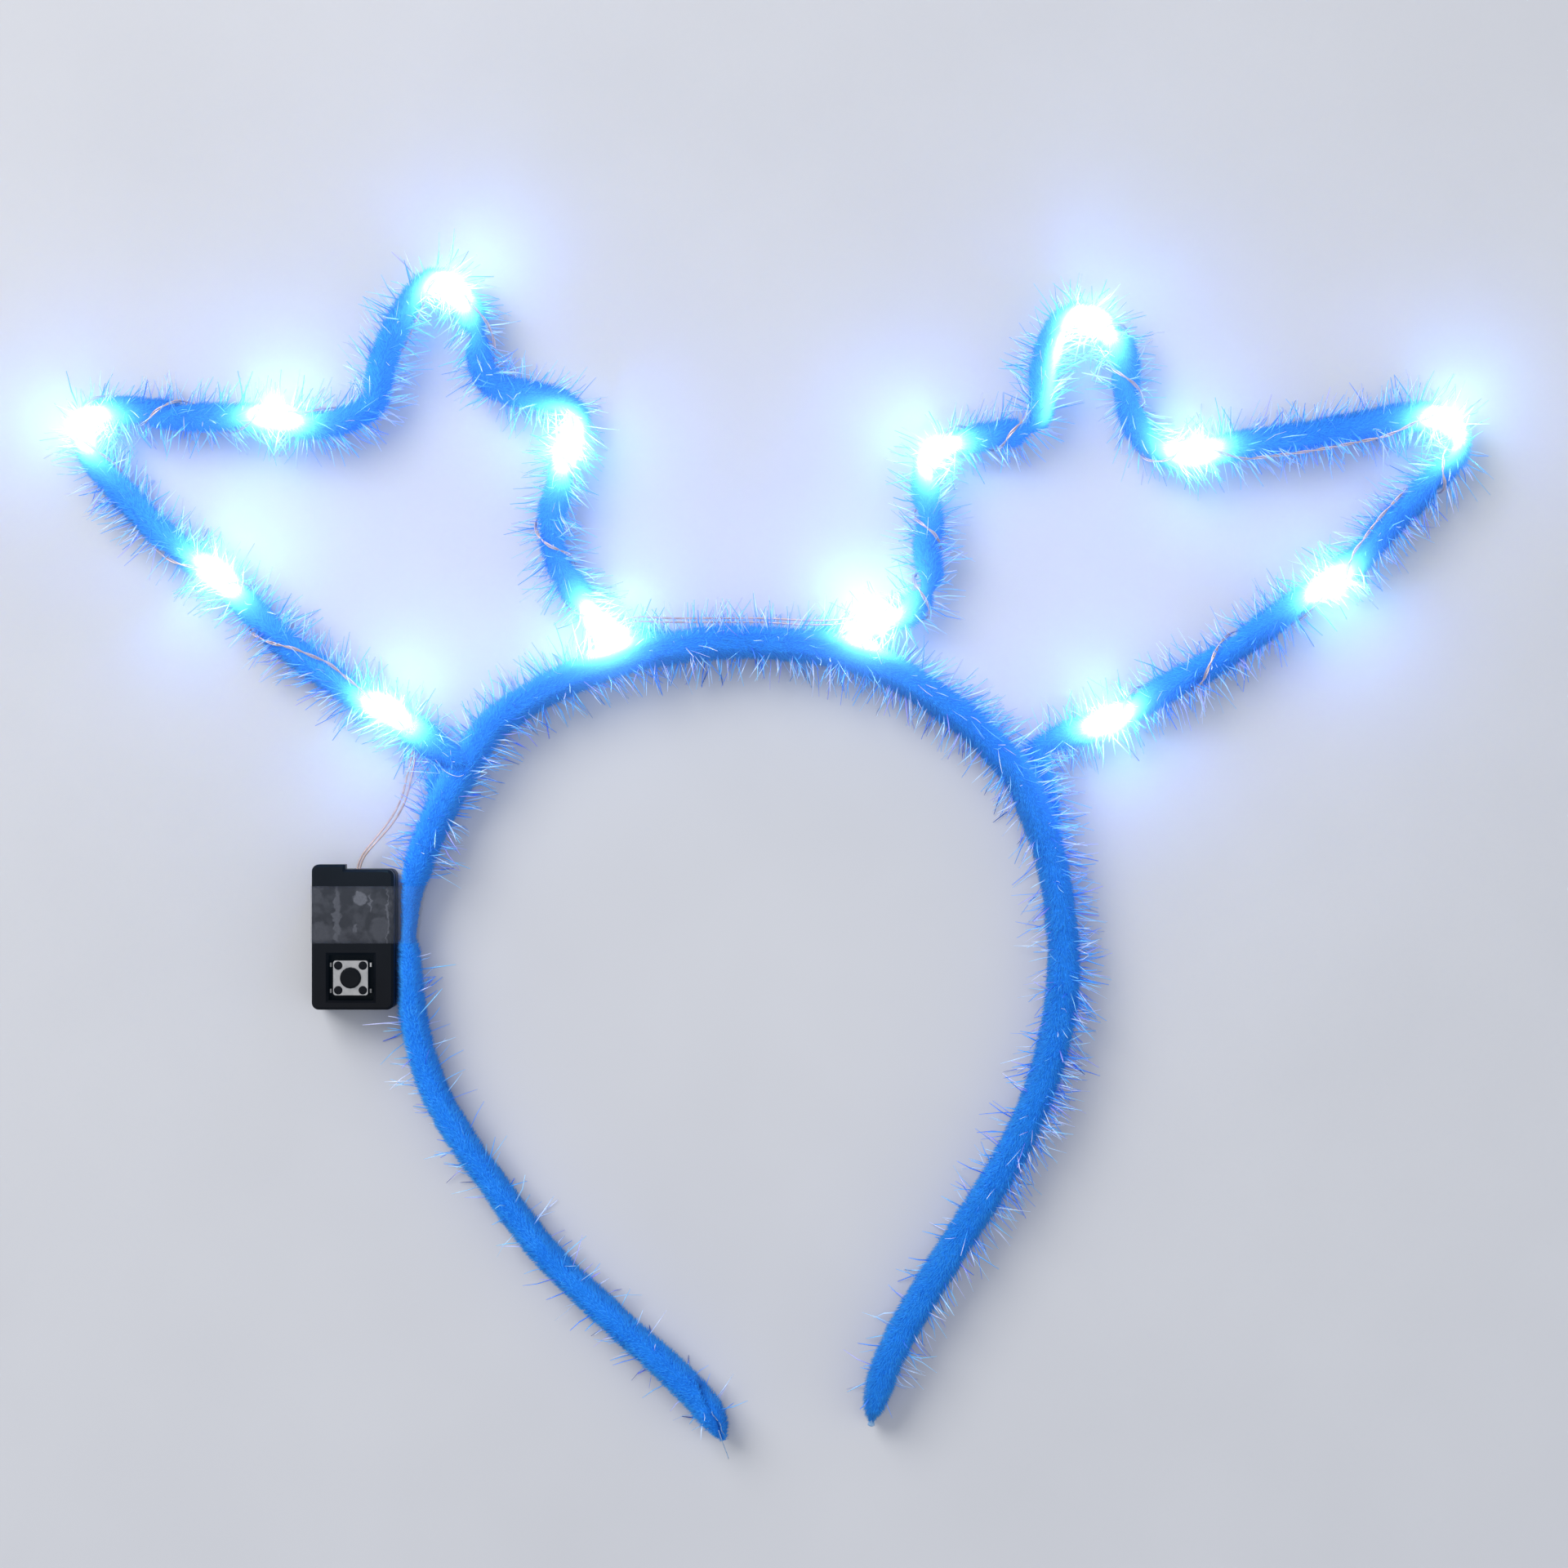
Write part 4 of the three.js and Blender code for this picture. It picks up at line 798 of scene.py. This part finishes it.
def put_drop(node, seed):
    """A drop of resin that tapers to the wire at both ends and bulges unevenly."""
    a, b, radius = POLES[node]
    share = np.linspace(-1, 1, DROP_ROWS)
    profile = np.maximum(np.cos(share * math.pi / 2), 0) ** DROP_BLUNT
    profile[[0, -1]] = DROP_NECK
    line = (a + b) / 2 + np.outer(share, (b - a) / 2)
    grid = tube(line, radius * profile, DROP_SIDES)
    middle = line[:, None, :]
    grid = middle + (grid - middle) * (1 + DROP_LUMP * rough(grid, DROP_LUMP_SIZE, seed))[..., None]
    glow = np.repeat(np.clip(DROP_GLOW[0] - np.abs(share) * DROP_GLOW[1], 0, 1), DROP_SIDES)
    marks = {"glow": np.append(glow, [DROP_POLE_GLOW] * 2)}
    put_tube("drop_" + node, grid, DROP, [node], marks=marks).visible_shadow = False


for number, node in enumerate(LIGHTS):
    put_drop(node, number)


def glow_marks(points, normals):
    """How much of the beads' light, painted in as glow, reaches each point of a surface with these normals.
    """
    ways = BEADS - points.reshape(-1, 1, 3)
    gaps = np.linalg.norm(ways, axis=-1)
    facing = (unit(ways) * normals.reshape(-1, 1, 3)).sum(axis=-1)
    near = np.exp(-(gaps / NEAR_REACH) ** 2) * (NEAR_AWAY + (1 - NEAR_AWAY) * np.clip(facing, 0, 1))
    far = np.clip(FAR_WRAP + (1 - FAR_WRAP) * facing, 0, 1) / (1 + (gaps / FAR_REACH) ** 2)
    # A painted streak of light down the lit side of the right antler's top
    side = evened(np.array(LIT_SIDE) * MM, STEM_STEP)
    gaps = np.linalg.norm(side - points.reshape(-1, 1, 3), axis=-1)
    beam = np.exp(-(gaps / LIT_REACH) ** 2) * np.linspace(*LIT_STRENGTH, len(side))
    near = np.maximum(near.max(axis=1), beam.max(axis=1))
    return {"near": near, "far": np.minimum(far.sum(axis=1), 1)}


# The wires

TWIN_NODES = [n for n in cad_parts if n.startswith(("wire_left", "wire_right"))]
FREE_NODES = [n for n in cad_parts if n.startswith(("lead_wire", "crown_wire"))]
BAND_RINGS = rings_of("headband", BAND_SIDES)
STEM_RINGS = {side: rings_of("antler_" + side, STEM_SIDES) for side in ("left", "right")}
STEM_LINES = {side: evened(rings.mean(axis=1), STEM_STEP) for side, rings in STEM_RINGS.items()}


def beneath(points, line):
    """The point of a middle line that is nearest to each point."""
    tree = tree_of(line)
    return line[[tree.find(point)[1] for point in points]]


def off_beads(line):
    """0 at the beads' ends, 1 well away from them."""
    return ease(nearest(line, BEAD_ENDS) / BEAD_REACH)


def sunk(line, stem, sink, turn):
    """The line drawn into the pile of the stem that it lies on and turned about it towards the
    front, apart from near the beads."""
    inner, ends = beneath(line, stem), off_beads(line)[:, None]
    out = line - inner
    up = np.linalg.norm(out, axis=1, keepdims=True) * (0, 0, 1)
    turned = out * np.cos(turn * ends) + up * np.sin(turn * ends)
    return inner + turned - unit(turned) * sink * ends


def to_beads(line):
    """The line with its ends led into the beads beside them."""
    line = list(line)
    for end in (0, -1):
        gaps = np.linalg.norm(BEAD_ENDS - line[end], axis=1)
        if gaps.min() < BEAD_NEAR:
            pole = int(gaps.argmin())
            inside = BEAD_ENDS[pole] + unit(BEADS[pole // 2] - BEAD_ENDS[pole]) * BEAD_INSIDE
            line.insert(len(line) if end else 0, inside)
    return np.array(line)


def dived(line, stem):
    """A lead drawn into the plush of the stem on its last stretch up to the bead."""
    share = ease((line[:, 1] - DIVE_START) / (DIVE_END - DIVE_START)) * off_beads(line)
    return line - unit(line - beneath(line, stem)) * (DIVE_DEPTH * share)[:, None]


def put_pair(node, line):
    """Two strands laid round a line, as one mesh."""
    side, over = across(line)
    turn = (run_of(line) / LAY_LENGTH * 2 * math.pi)[:, None]
    out = np.cos(turn) * side + np.sin(turn) * over
    lines = [line + way * STRAND_SPREAD * out for way in (-1, 1)]
    points = [with_hubs(tube(strand, STRAND_RADIUS, STRAND_SIDES)) for strand in lines]
    faces = [tube_faces(len(line), STRAND_SIDES, first) for first in (0, len(points[0]))]
    quads, caps = zip(*faces)
    mesh = mesh_of("pair_" + node, np.concatenate(points), *quads, *caps)
    put(mesh, COPPER, [node])


TWIN_LINES = {}
for node in TWIN_NODES:
    stem = STEM_LINES[node.split("_")[1]]
    sink, turn = (SHOWN_SINK, SHOWN_TURN) if node == SHOWN else (SINK, 0.0)
    line = evened(sunk(evened(line_of(node), STRAND_STEP), stem, sink, turn), STRAND_STEP)
    TWIN_LINES[node] = evened(to_beads(line), STRAND_STEP)
    put_pair(node, TWIN_LINES[node])
FREE_LINES = {}
for node in FREE_NODES:
    line = relaxed(evened(to_beads(line_of(node)), STRAND_STEP), EASE_ROUNDS)
    if node.startswith("lead"):
        line = relaxed(dived(line, STEM_LINES["left"]), EASE_ROUNDS)
    FREE_LINES[node] = line
lead_a, lead_b = FREE_LINES["lead_wire_a"], FREE_LINES["lead_wire_b"]
beside = smooth(lead_a, np.linspace(0, len(lead_a) - 1, len(lead_b)))
FREE_LINES["lead_wire_b"] = lead_b + (beside - lead_b) * LEADS_CLOSE
for node, line in FREE_LINES.items():
    put_line("strand_" + node, line, FREE_RADIUS, COPPER, [node])
WIRE_POINTS = np.concatenate(list(TWIN_LINES.values()))


# The plush surfaces

class Plush:
    """The cloth of the band or of a stem: a grid of points with their normals and ways."""

    def __init__(self, rings, around):
        middles = rings.mean(axis=1)
        run = run_of(middles)
        count = round(run[-1] / SURFACE_STEP) + 1
        places = np.interp(np.linspace(0, run[-1], count), run, np.arange(len(rings)))
        along = smooth(rings, places)
        turn = np.linspace(0, rings.shape[1], around, endpoint=False)
        grid = smooth(along.transpose(1, 0, 2), turn, closed=True).transpose(1, 0, 2)
        self.way = unit(np.gradient(grid, axis=0))
        beside = np.roll(grid, -1, axis=1) - np.roll(grid, 1, axis=1)
        normal = unit(np.cross(beside, self.way))
        outward = grid - grid.mean(axis=1, keepdims=True)
        self.normal = normal * np.sign((normal * outward).sum(axis=-1, keepdims=True))
        self.solid = grid

    def sink(self, others, seam=None):
        """Puts the cloth under the solid's surface: deeper under the wires and beads and along
        a seam in its front, and level with it where it lies against other plush."""
        solid = self.solid
        middles = solid.mean(axis=1)
        run = run_of(middles)
        lumps = sum(rough(solid, size, k) for k, size in enumerate(LUMP_SIZES)) * LUMP
        wires = np.exp(-(nearest(solid, WIRE_POINTS) / PRESS_WIDTH) ** 2) * PRESS_DEPTH
        beads = np.exp(-(nearest(solid, BEADS) / BEAD_PRESS_WIDTH) ** 2) * BEAD_PRESS
        self.fold = np.zeros(solid.shape[:2])
        if seam is not None:
            gaps = nearest(solid * (1, 1, 0), seam)
            # The seam's fold on the front: the cloth sinks there, and cloth and pile are darkened there as
            # painted shade
            self.fold = np.exp(-(gaps / SEAM_WIDTH) ** 2) * (self.normal[..., 2] > 0)
            narrow = TIP_NARROW * ease(1 - np.minimum(run, run[-1] - run) / TIP_LENGTH)
            lumps = lumps + self.fold * SEAM_DEPTH + narrow[:, None]
        for right, up, depth, reach in PINCHES:
            gaps = np.linalg.norm(middles[:, :2] - np.array((right, up)) * MM, axis=1)
            if gaps.min() < PINCH_NEAR:
                along = run - run[gaps.argmin()]
                lumps = lumps + (np.exp(-(along / (reach * MM)) ** 2) * depth * MM)[:, None]
        touched = np.concatenate([other.solid.reshape(-1, 3) for other in others])
        apart = ease(nearest(solid, touched) / TOUCH_REACH)
        self.depth = (PILE_DEPTH + lumps + wires + beads + TOUCH_SWELL) * apart - TOUCH_SWELL
        self.grid = above_floor(solid - self.normal * self.depth[..., None])

    def on_front(self, places, above):
        """Points over the cloth's front at places given from right to left and up."""
        front = self.grid[self.normal[..., 2] > FRONT_LEAST]
        tree = tree_of(front * (1, 1, 0))
        return np.array([(x, y, front[tree.find((x, y, 0))[1]][2] + above) for x, y in places])

    def roots(self, count, rng, start=0.0, end=1.0):
        """Places spread evenly over the surface between two shares of its length, counted in
        rings and in corners of a ring."""
        rings, around = self.grid.shape[:2]
        girth = np.linalg.norm(self.grid - np.roll(self.grid, 1, axis=1), axis=-1).sum(axis=1)
        span = np.arange(round(start * (rings - 1)), round(end * (rings - 1)) + 1)
        weight = np.concatenate([[0], np.cumsum((girth[span][1:] + girth[span][:-1]) / 2)])
        i = np.interp(rng.random(count) * weight[-1], weight, span)
        return i, rng.random(count) * around

    def at(self, table, i, j):
        """A table read between its rows and columns."""
        rings, around = table.shape[:2]
        a = np.clip(i.astype(int), 0, rings - 2)
        b = j.astype(int) % around
        c = (b + 1) % around
        x, y = (i - a)[:, None], (j - np.floor(j))[:, None]
        if table.ndim == 2:
            table = table[..., None]
        low = table[a, b] * (1 - y) + table[a, c] * y
        high = table[a + 1, b] * (1 - y) + table[a + 1, c] * y
        return low * (1 - x) + high * x

    def ground(self, i, j):
        """The cloth at some places: points, normals, ways and the directions across them."""
        root = self.at(self.grid, i, j)
        normal = unit(self.at(self.normal, i, j))
        way = unit(self.at(self.way, i, j))
        return root, normal, way, np.cross(normal, way)


def cloth_piece(name, plush, *nodes):
    """The cloth of some plush, in place of its nodes."""
    marks = glow_marks(with_hubs(plush.grid), with_hubs(plush.normal))
    marks["fold"] = np.append(plush.fold.ravel(), [0, 0])
    put_tube(name, plush.grid, CLOTH, nodes, marks=marks)


# Pile and tinsel

def within(points, node, margin, sides=3):
    """Which points lie in a node's box, grown by a margin. With two sides it is seen from above."""
    low, high = (np.array(corner)[:sides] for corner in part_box(node))
    points = points[..., :sides]
    return np.all((points > low - margin) & (points < high + margin), axis=-1)


def laid(root, rng, mean, tufts, size, offset, spread):
    """How far each fibre leans: alike in a tuft, with some spread."""
    return (mean + tufts * rough(root, size, offset) + rng.normal(0, spread, len(root)))[:, None]


def pile_piece(name, plush, count, seed, start=0.0, end=1.0):
    """Short tapered fibres that lean along the surface, rooted in the cloth, as one mesh."""
    rng = np.random.default_rng(SEED + seed)
    width = PILE_WIDTH
    i, j = plush.roots(count, rng, start, end)
    root, normal, way, side = plush.ground(i, j)
    depth, fold = (plush.at(table, i, j)[:, 0] for table in (plush.depth, plush.fold))
    lean = laid(root, rng, *PILE_LEAN)
    sway = laid(root, rng, *PILE_SWAY)
    pressed = np.clip(1 - (depth - PILE_DEPTH - LUMP) / PRESS_FULL, PRESS_LEAST, 1)
    pressed = np.where(within(root, "tape_strip", PILE_CLEAR), TAPE_PRESS, pressed)
    length = (PILE_SHORT + (PILE_LONG - PILE_SHORT) * rng.random(count)) * pressed
    turn = rng.random(count) * 2 * math.pi
    points = np.empty((count, 4, 3))
    for k in range(3):
        angle = (turn + k * 2 * math.pi / 3)[:, None]
        points[:, k] = root + (np.cos(angle) * side + np.sin(angle) * way) * width - normal * PILE_ROOT
    points[:, 3] = root + unit(normal + way * lean + side * sway) * length[:, None]
    faces = np.arange(count)[:, None, None] * 4 + np.array([[0, 1, 3], [1, 2, 3], [2, 0, 3]])
    marks = glow_marks(root, normal)
    marks.update(tone=rng.random(count), fold=fold)
    marks = {mark: np.repeat(values, 4) for mark, values in marks.items()}
    # 0 at a fibre's foot, 1 at its tip: the pile's colour uses it for painted shade at the roots
    marks["tip"] = np.tile([0.0, 0.0, 0.0, 1.0], count)
    put(mesh_of(name, above_floor(points), faces.reshape(-1, 3), marks=marks), PILE)


def band_share(share, root, normal):
    """How much of the tinsel a place on the band has."""
    places, inside, outside = np.array(BAND_HAIRS).T
    outer = ((root - HEAD_MIDDLE) * normal).sum(axis=1) > 0
    return np.where(outer, np.interp(share, places, outside), np.interp(share, places, inside))


def tinsel_piece(name, plush, count, seed, density=None):
    """Long bright hairs that stand out of the pile's sides and lean along it, as one mesh. None of
    them runs into the tape or over the box."""
    rng = np.random.default_rng(SEED + seed)
    i, j = plush.roots(count, rng)
    ground = plush.ground(i, j)
    root, normal = ground[:2]
    wanted = 1 - (1 - HAIR_FRONT) * ease((np.abs(normal[:, 2]) - FRONT_FROM) / FRONT_OVER)
    if density:
        wanted = wanted * density(i / (len(plush.grid) - 1), root, normal)
    picked = rng.random(count) < wanted
    root, normal, way, side = (rows[picked] for rows in ground)
    count = len(root)
    lean = laid(root, rng, *HAIR_LEAN)
    sway = rng.normal(0, HAIR_SWAY, (count, 1))
    start = unit(normal + way * lean + side * sway)
    bend = rng.normal(0, HAIR_BEND, (count, 3))
    length = HAIR_SHORT + (HAIR_LONG - HAIR_SHORT) * rng.random((count, 1)) ** 1.3
    foot = root - normal * HAIR_ROOT
    flat = unit(np.cross(start, rng.normal(0, 1, (count, 3))))
    thin = unit(np.cross(start, flat))
    width = HAIR_WIDTH * (0.7 + 0.6 * rng.random((count, 1)))
    points = np.empty((count, 9, 3))
    for row, (share, bent, wide) in enumerate(HAIR_ROWS):
        middle = foot + (start * share + bend * bent) * length
        for corner, (a, b) in enumerate(HAIR_CORNERS):
            points[:, 3 * row + corner] = middle + (flat * a + thin * b) * width * wide
    tone = rng.random(count)
    taken = within(points, "tape_strip", HAIR_CLEAR) | within(points, "battery_case", BOX_CLEAR, 2)
    free = ~taken.any(axis=1)
    points = points[free]
    first = np.arange(len(points))[:, None, None] * 9
    sides = first + tube_faces(len(HAIR_ROWS), 3)[0]
    ends = first + np.array([[6, 7, 8], [0, 2, 1]])
    marks = glow_marks(points, np.repeat(normal[free], 9, axis=0))
    marks["tone"] = np.repeat(tone[free], 9)
    mesh = mesh_of(name, above_floor(points), sides.reshape(-1, 4), ends.reshape(-1, 3), soft=False,
                   marks=marks)
    put(mesh, TINSEL)


def nested(rings):
    """A stem's rings with its feet drawn into the band's pile where they lie along it."""
    middles = rings.mean(axis=1)
    gaps = beneath(middles, evened(BAND_RINGS.mean(axis=1), SURFACE_STEP)) - middles
    share = ease((NEST_FAR - np.linalg.norm(gaps, axis=1)) / (NEST_FAR - NEST_NEAR))
    shift = unit(gaps) * (NEST_SHIFT * share)[:, None]
    return rings + shift[:, None, :]


BAND = Plush(BAND_RINGS, BAND_AROUND)
STEMS = {side: Plush(nested(rings), STEM_AROUND) for side, rings in STEM_RINGS.items()}
SEAM_LINE = evened(np.array([(x * MM, y * MM, 0) for x, y in SEAM]), THREAD_STEP)
BAND.sink(STEMS.values(), SEAM_LINE)
cloth_piece("band_cloth", BAND, "headband")
pile_piece("band_pile_left", BAND, BAND_PILE, 1, 0.0, 0.5)
pile_piece("band_pile_right", BAND, BAND_PILE, 2, 0.5, 1.0)
tinsel_piece("band_tinsel", BAND, BAND_HAIR, 3, band_share)
for number, (side, stem) in enumerate(STEMS.items()):
    stem.sink([BAND])
    cloth_piece("stem_cloth_" + side, stem, "antler_" + side)
    pile_piece("stem_pile_" + side, stem, STEM_PILE, 10 + number)
    tinsel_piece("stem_tinsel_" + side, stem, STEM_HAIR, 20 + number)


def raw_edge():
    """The cut edge of the cover in the fold at the left tip, and its loose thread."""
    fold = evened(SEAM_LINE, SEAM_STEP)[:, :2]
    line = BAND.on_front(fold[round(SEAM_OPEN * len(fold)):], SEAM_ABOVE)
    wander = rough(line, SEAM_WANDER_SIZE, 5)[:, None] * SEAM_WANDER
    put_line("seam_edge", line + wander, SEAM_EDGE, FRAY)
    put_line("loose_thread", evened(np.array(THREAD) * MM, THREAD_STEP), THREAD_RADIUS, FRAY)


def lining_stub():
    """The stub of the lining that shows at the right tip."""
    end, before = BAND.solid[-1].mean(axis=0), BAND.solid[-4].mean(axis=0)
    places, half = np.array(LINING).T * MM
    line = evened(end + np.outer(places, unit(end - before)), LINING_STEP)
    stub = tube(line, np.interp(run_of(line) + places[0], places, half), LINING_SIDES)
    stub = flattened(stub, line, LINING_FLATNESS)
    stub = stub + LINING_ROUGH * rough(stub, LINING_GRAIN, 9)[..., None]
    put_tube("tip_lining", stub, FRAY)


def bent_end():
    """The stem's end that is bent over the band's front, with the thin wire round it."""
    *middle, half = np.array(BENT_END).T * MM
    line = evened(np.array(middle).T, BENT_STEP)
    half = np.interp(np.linspace(0, len(half) - 1, len(line)), np.arange(len(half)), half)
    end = Plush(flattened(tube(line, half, BENT_SIDES), line, BENT_FLATNESS), BENT_AROUND)
    end.sink([BAND, STEMS["left"]])
    cloth_piece("bent_end_cloth", end)
    pile_piece("bent_end_pile", end, END_PILE, 31)
    tinsel_piece("bent_end_tinsel", end, END_HAIR, 32)
    wire = BAND.on_front([(x * MM, y * MM) for x, y in CORE_WIRE], CORE_ABOVE)
    put_line("core_wire_end", evened(wire, THREAD_STEP), THREAD_RADIUS, BRIGHT)


raw_edge()
lining_stub()
bent_end()


# The battery box

def relook(node, look):
    """Gives a solid that stays its material."""
    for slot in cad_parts[node].material_slots:
        slot.material = look


PLATE = np.mean(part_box("switch_plate"), axis=0)
for node in ("battery_case", "battery_cover", "switch_body"):
    relook(node, CASE_BLACK)
relook("switch_plate", TIN)
# The top right leg gets the plate's tin, the other three a darker copy of it as painted shade
for number in range(1, 5):
    node = f"switch_leg_{number}"
    right, up = np.mean(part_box(node), axis=0)[:2]
    relook(node, TIN if right > PLATE[0] and up > PLATE[1] else SHADED_TIN)


def turned_piece(name, profile, middle, look, stands_for=(), body=BODY):
    """A round piece of plastic turned about an upright axis, from its radii and heights."""
    turn = np.linspace(0, 2 * math.pi, TURNED_SIDES, endpoint=False)
    radii, heights = np.array(profile).T
    grid = np.stack([
        middle[0] + np.outer(radii, np.cos(turn)),
        middle[1] + np.outer(radii, np.sin(turn)),
        np.repeat(heights[:, None], TURNED_SIDES, axis=1),
    ], axis=-1)
    made = put_tube(name, grid, look, stands_for, body)
    made.data.set_sharp_from_angle(angle=SHARP)


def rounded(radius, top, bevel, steps=5):
    """The rows of a profile that round off its upper edge."""
    angles = np.linspace(0, math.pi / 2, steps)
    return [(radius - bevel + bevel * math.cos(a), top - bevel + bevel * math.sin(a)) for a in angles]


def switch_details():
    """The round button with its rim and worn dish, and the rounded heads of the four pegs."""
    low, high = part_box("switch_button")
    rim = (high[0] - low[0]) / 2
    radius = rim - BUTTON_RIM
    under = low[2] + BUTTON_RIM_HEIGHT
    profile = [(BUTTON_HUB, low[2]), (rim, low[2]), (rim, under), (radius, under)]
    profile += rounded(radius, high[2], BUTTON_BEVEL)
    profile += [(share * radius, high[2] - deep * BUTTON_DISH) for share, deep in DISH_ROWS]
    turned_piece("button_cap", profile, (low + high) / 2, BUTTON_BLACK, ["switch_button"], "button")
    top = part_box("switch_body")[1][2]
    for number, (right, up) in enumerate([(-1, -1), (-1, 1), (1, -1), (1, 1)]):
        middle = (PLATE[0] + right * PEG_OFFSET, PLATE[1] + up * PEG_OFFSET)
        profile = [(PEG_RADIUS, top - 2 * PEG_DOME)] + rounded(PEG_RADIUS, top + PEG_DOME, 2 * PEG_DOME)
        turned_piece(f"peg_head_{number}", profile, middle, CASE_BLACK)


switch_details()


def tape_loop(up, sides, levels):
    """The tape's loop at one height of the box: round the box and the band, tight."""
    near = BAND.solid[:len(BAND.solid) // 2]
    ring = near[np.argmin(np.abs(near[:, :, 1].mean(axis=1) - up))]
    corners = np.array([(x, z) for x in sides for z in levels])
    flat = np.concatenate([corners, ring[:, [0, 2]]])
    hull = flat[convex_hull_2d(flat)]
    # The lower of its two left corners comes first
    first = int(np.argmin(hull[:, 0] + 0.01 * hull[:, 1]))
    hull = np.roll(hull, -first, axis=0)
    closed = np.concatenate([hull, hull[:1]])
    run = run_of(closed)
    places = np.linspace(0, run[-1], TAPE_AROUND, endpoint=False)
    return np.stack([np.interp(places, run, closed[:, k]) for k in range(2)], axis=1)


def tape_piece():
    """The tape: one turn of film, drawn tight, with shallow waves where it doesn't hold."""
    low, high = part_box("tape_strip")
    case_low, case_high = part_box("battery_case")
    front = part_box("battery_cover")[1][2]
    ups = np.linspace(low[1], high[1], TAPE_ROWS)
    loops = [tape_loop(up, (case_low[0], case_high[0]), (case_low[2], front)) for up in ups]
    flat = np.array(loops)
    for _ in range(TAPE_ROUNDS):
        flat = (np.roll(flat, 1, axis=1) + 2 * flat + np.roll(flat, -1, axis=1)) / 4
    ahead = np.roll(flat, -1, axis=1) - np.roll(flat, 1, axis=1)
    out = unit(np.stack([ahead[..., 1], -ahead[..., 0]], axis=-1))
    solid = np.stack([flat[..., 0], np.broadcast_to(ups[:, None], flat.shape[:2]), flat[..., 1]], axis=-1)
    normal = np.stack([out[..., 0], np.zeros(flat.shape[:2]), out[..., 1]], axis=-1)
    wave = np.abs(rough(solid, TAPE_WAVE_SIZE, 3))[..., None] * TAPE_WAVE
    inner = solid + normal * (TAPE_LOOSE + wave)
    outer = inner + normal * TAPE_THICK
    faces, _ = tube_faces(TAPE_ROWS, TAPE_AROUND)
    shift = TAPE_ROWS * TAPE_AROUND
    last = shift - TAPE_AROUND
    j = np.arange(TAPE_AROUND)
    k = (j + 1) % TAPE_AROUND
    rims = np.concatenate([
        np.stack([j, k, k + shift, j + shift], axis=1),
        np.stack([last + k, last + j, last + j + shift, last + k + shift], axis=1),
    ])
    points = np.concatenate([inner.reshape(-1, 3), outer.reshape(-1, 3)])
    marks = {"on_box": points[:, 0] < case_high[0]}
    mesh = mesh_of("tape_film", above_floor(points), faces, faces[:, ::-1] + shift, rims, marks=marks)
    put(mesh, FILM, ["tape_strip"])


tape_piece()


# The floor, the lights and the camera

def floor():
    """A plain pale floor just under the object."""
    corners = [(-1, -1), (1, -1), (1, 1), (-1, 1)]
    points = [(x * FLOOR_HALF, y * FLOOR_HALF, FLOOR_LEVEL) for x, y in corners]
    made = linked("floor", mesh_of("floor", points, [[0, 1, 2, 3]], soft=False))
    pale = blotted("floor_pale", 60 * MM, (0.58, 0.59, 0.62), (0.61, 0.62, 0.65), Roughness=0.75,
                   Specular_IOR_Level=0.25)
    made.data.materials.append(pale)


def lamp(name, kind, place, power, colour, size):
    """One light. It is turned to the middle of the object, unless it shines all round."""
    data = bpy.data.lights.new(name, kind)
    data.energy = power
    data.color = colour
    setattr(data, LAMP_SIZES[kind], size)
    made = linked(name, data)
    made.location = place
    if kind != "POINT":
        made.rotation_euler = (Vector() - Vector(place)).to_track_quat("-Z", "Y").to_euler()


floor()
for row in LAMPS:
    lamp(*row)
for node, middle in zip(LIGHTS, BEADS):
    lamp("glow_" + node, "POINT", middle, BEAD_POWER, BEAD_COLOUR, BEAD_SIZE)

world = bpy.data.worlds.new("studio")
world.use_nodes = True
sky = world.node_tree.nodes["Background"]
sky.inputs["Color"].default_value = SKY
sky.inputs["Strength"].default_value = SKY_STRENGTH
bpy.context.scene.world = world

camera = bpy.data.cameras.new("camera")
camera.sensor_width = SENSOR
camera.lens = SENSOR * CAMERA_HEIGHT / VIEW_WIDTH
camera.clip_start = 0.01
camera_object = linked("camera", camera)
camera_object.location = (CAMERA_X, CAMERA_Y, CAMERA_LEVEL + CAMERA_HEIGHT)
bpy.context.scene.camera = camera_object


def halo():
    """Soft light round the beads, as a lens shows it."""
    scene = bpy.context.scene
    scene.view_settings.view_transform = "Standard"
    scene.use_nodes = True
    tree = scene.node_tree
    tree.nodes.clear()
    layers = tree.nodes.new("CompositorNodeRLayers")
    glare = tree.nodes.new("CompositorNodeGlare")
    glare.glare_type = "BLOOM"
    glare.quality = "MEDIUM"
    output = tree.nodes.new("CompositorNodeComposite")
    for socket, value in BLOOM.items():
        glare.inputs[socket].default_value = value
    tree.links.new(layers.outputs["Image"], glare.inputs["Image"])
    tree.links.new(glare.outputs["Image"], output.inputs["Image"])


halo()
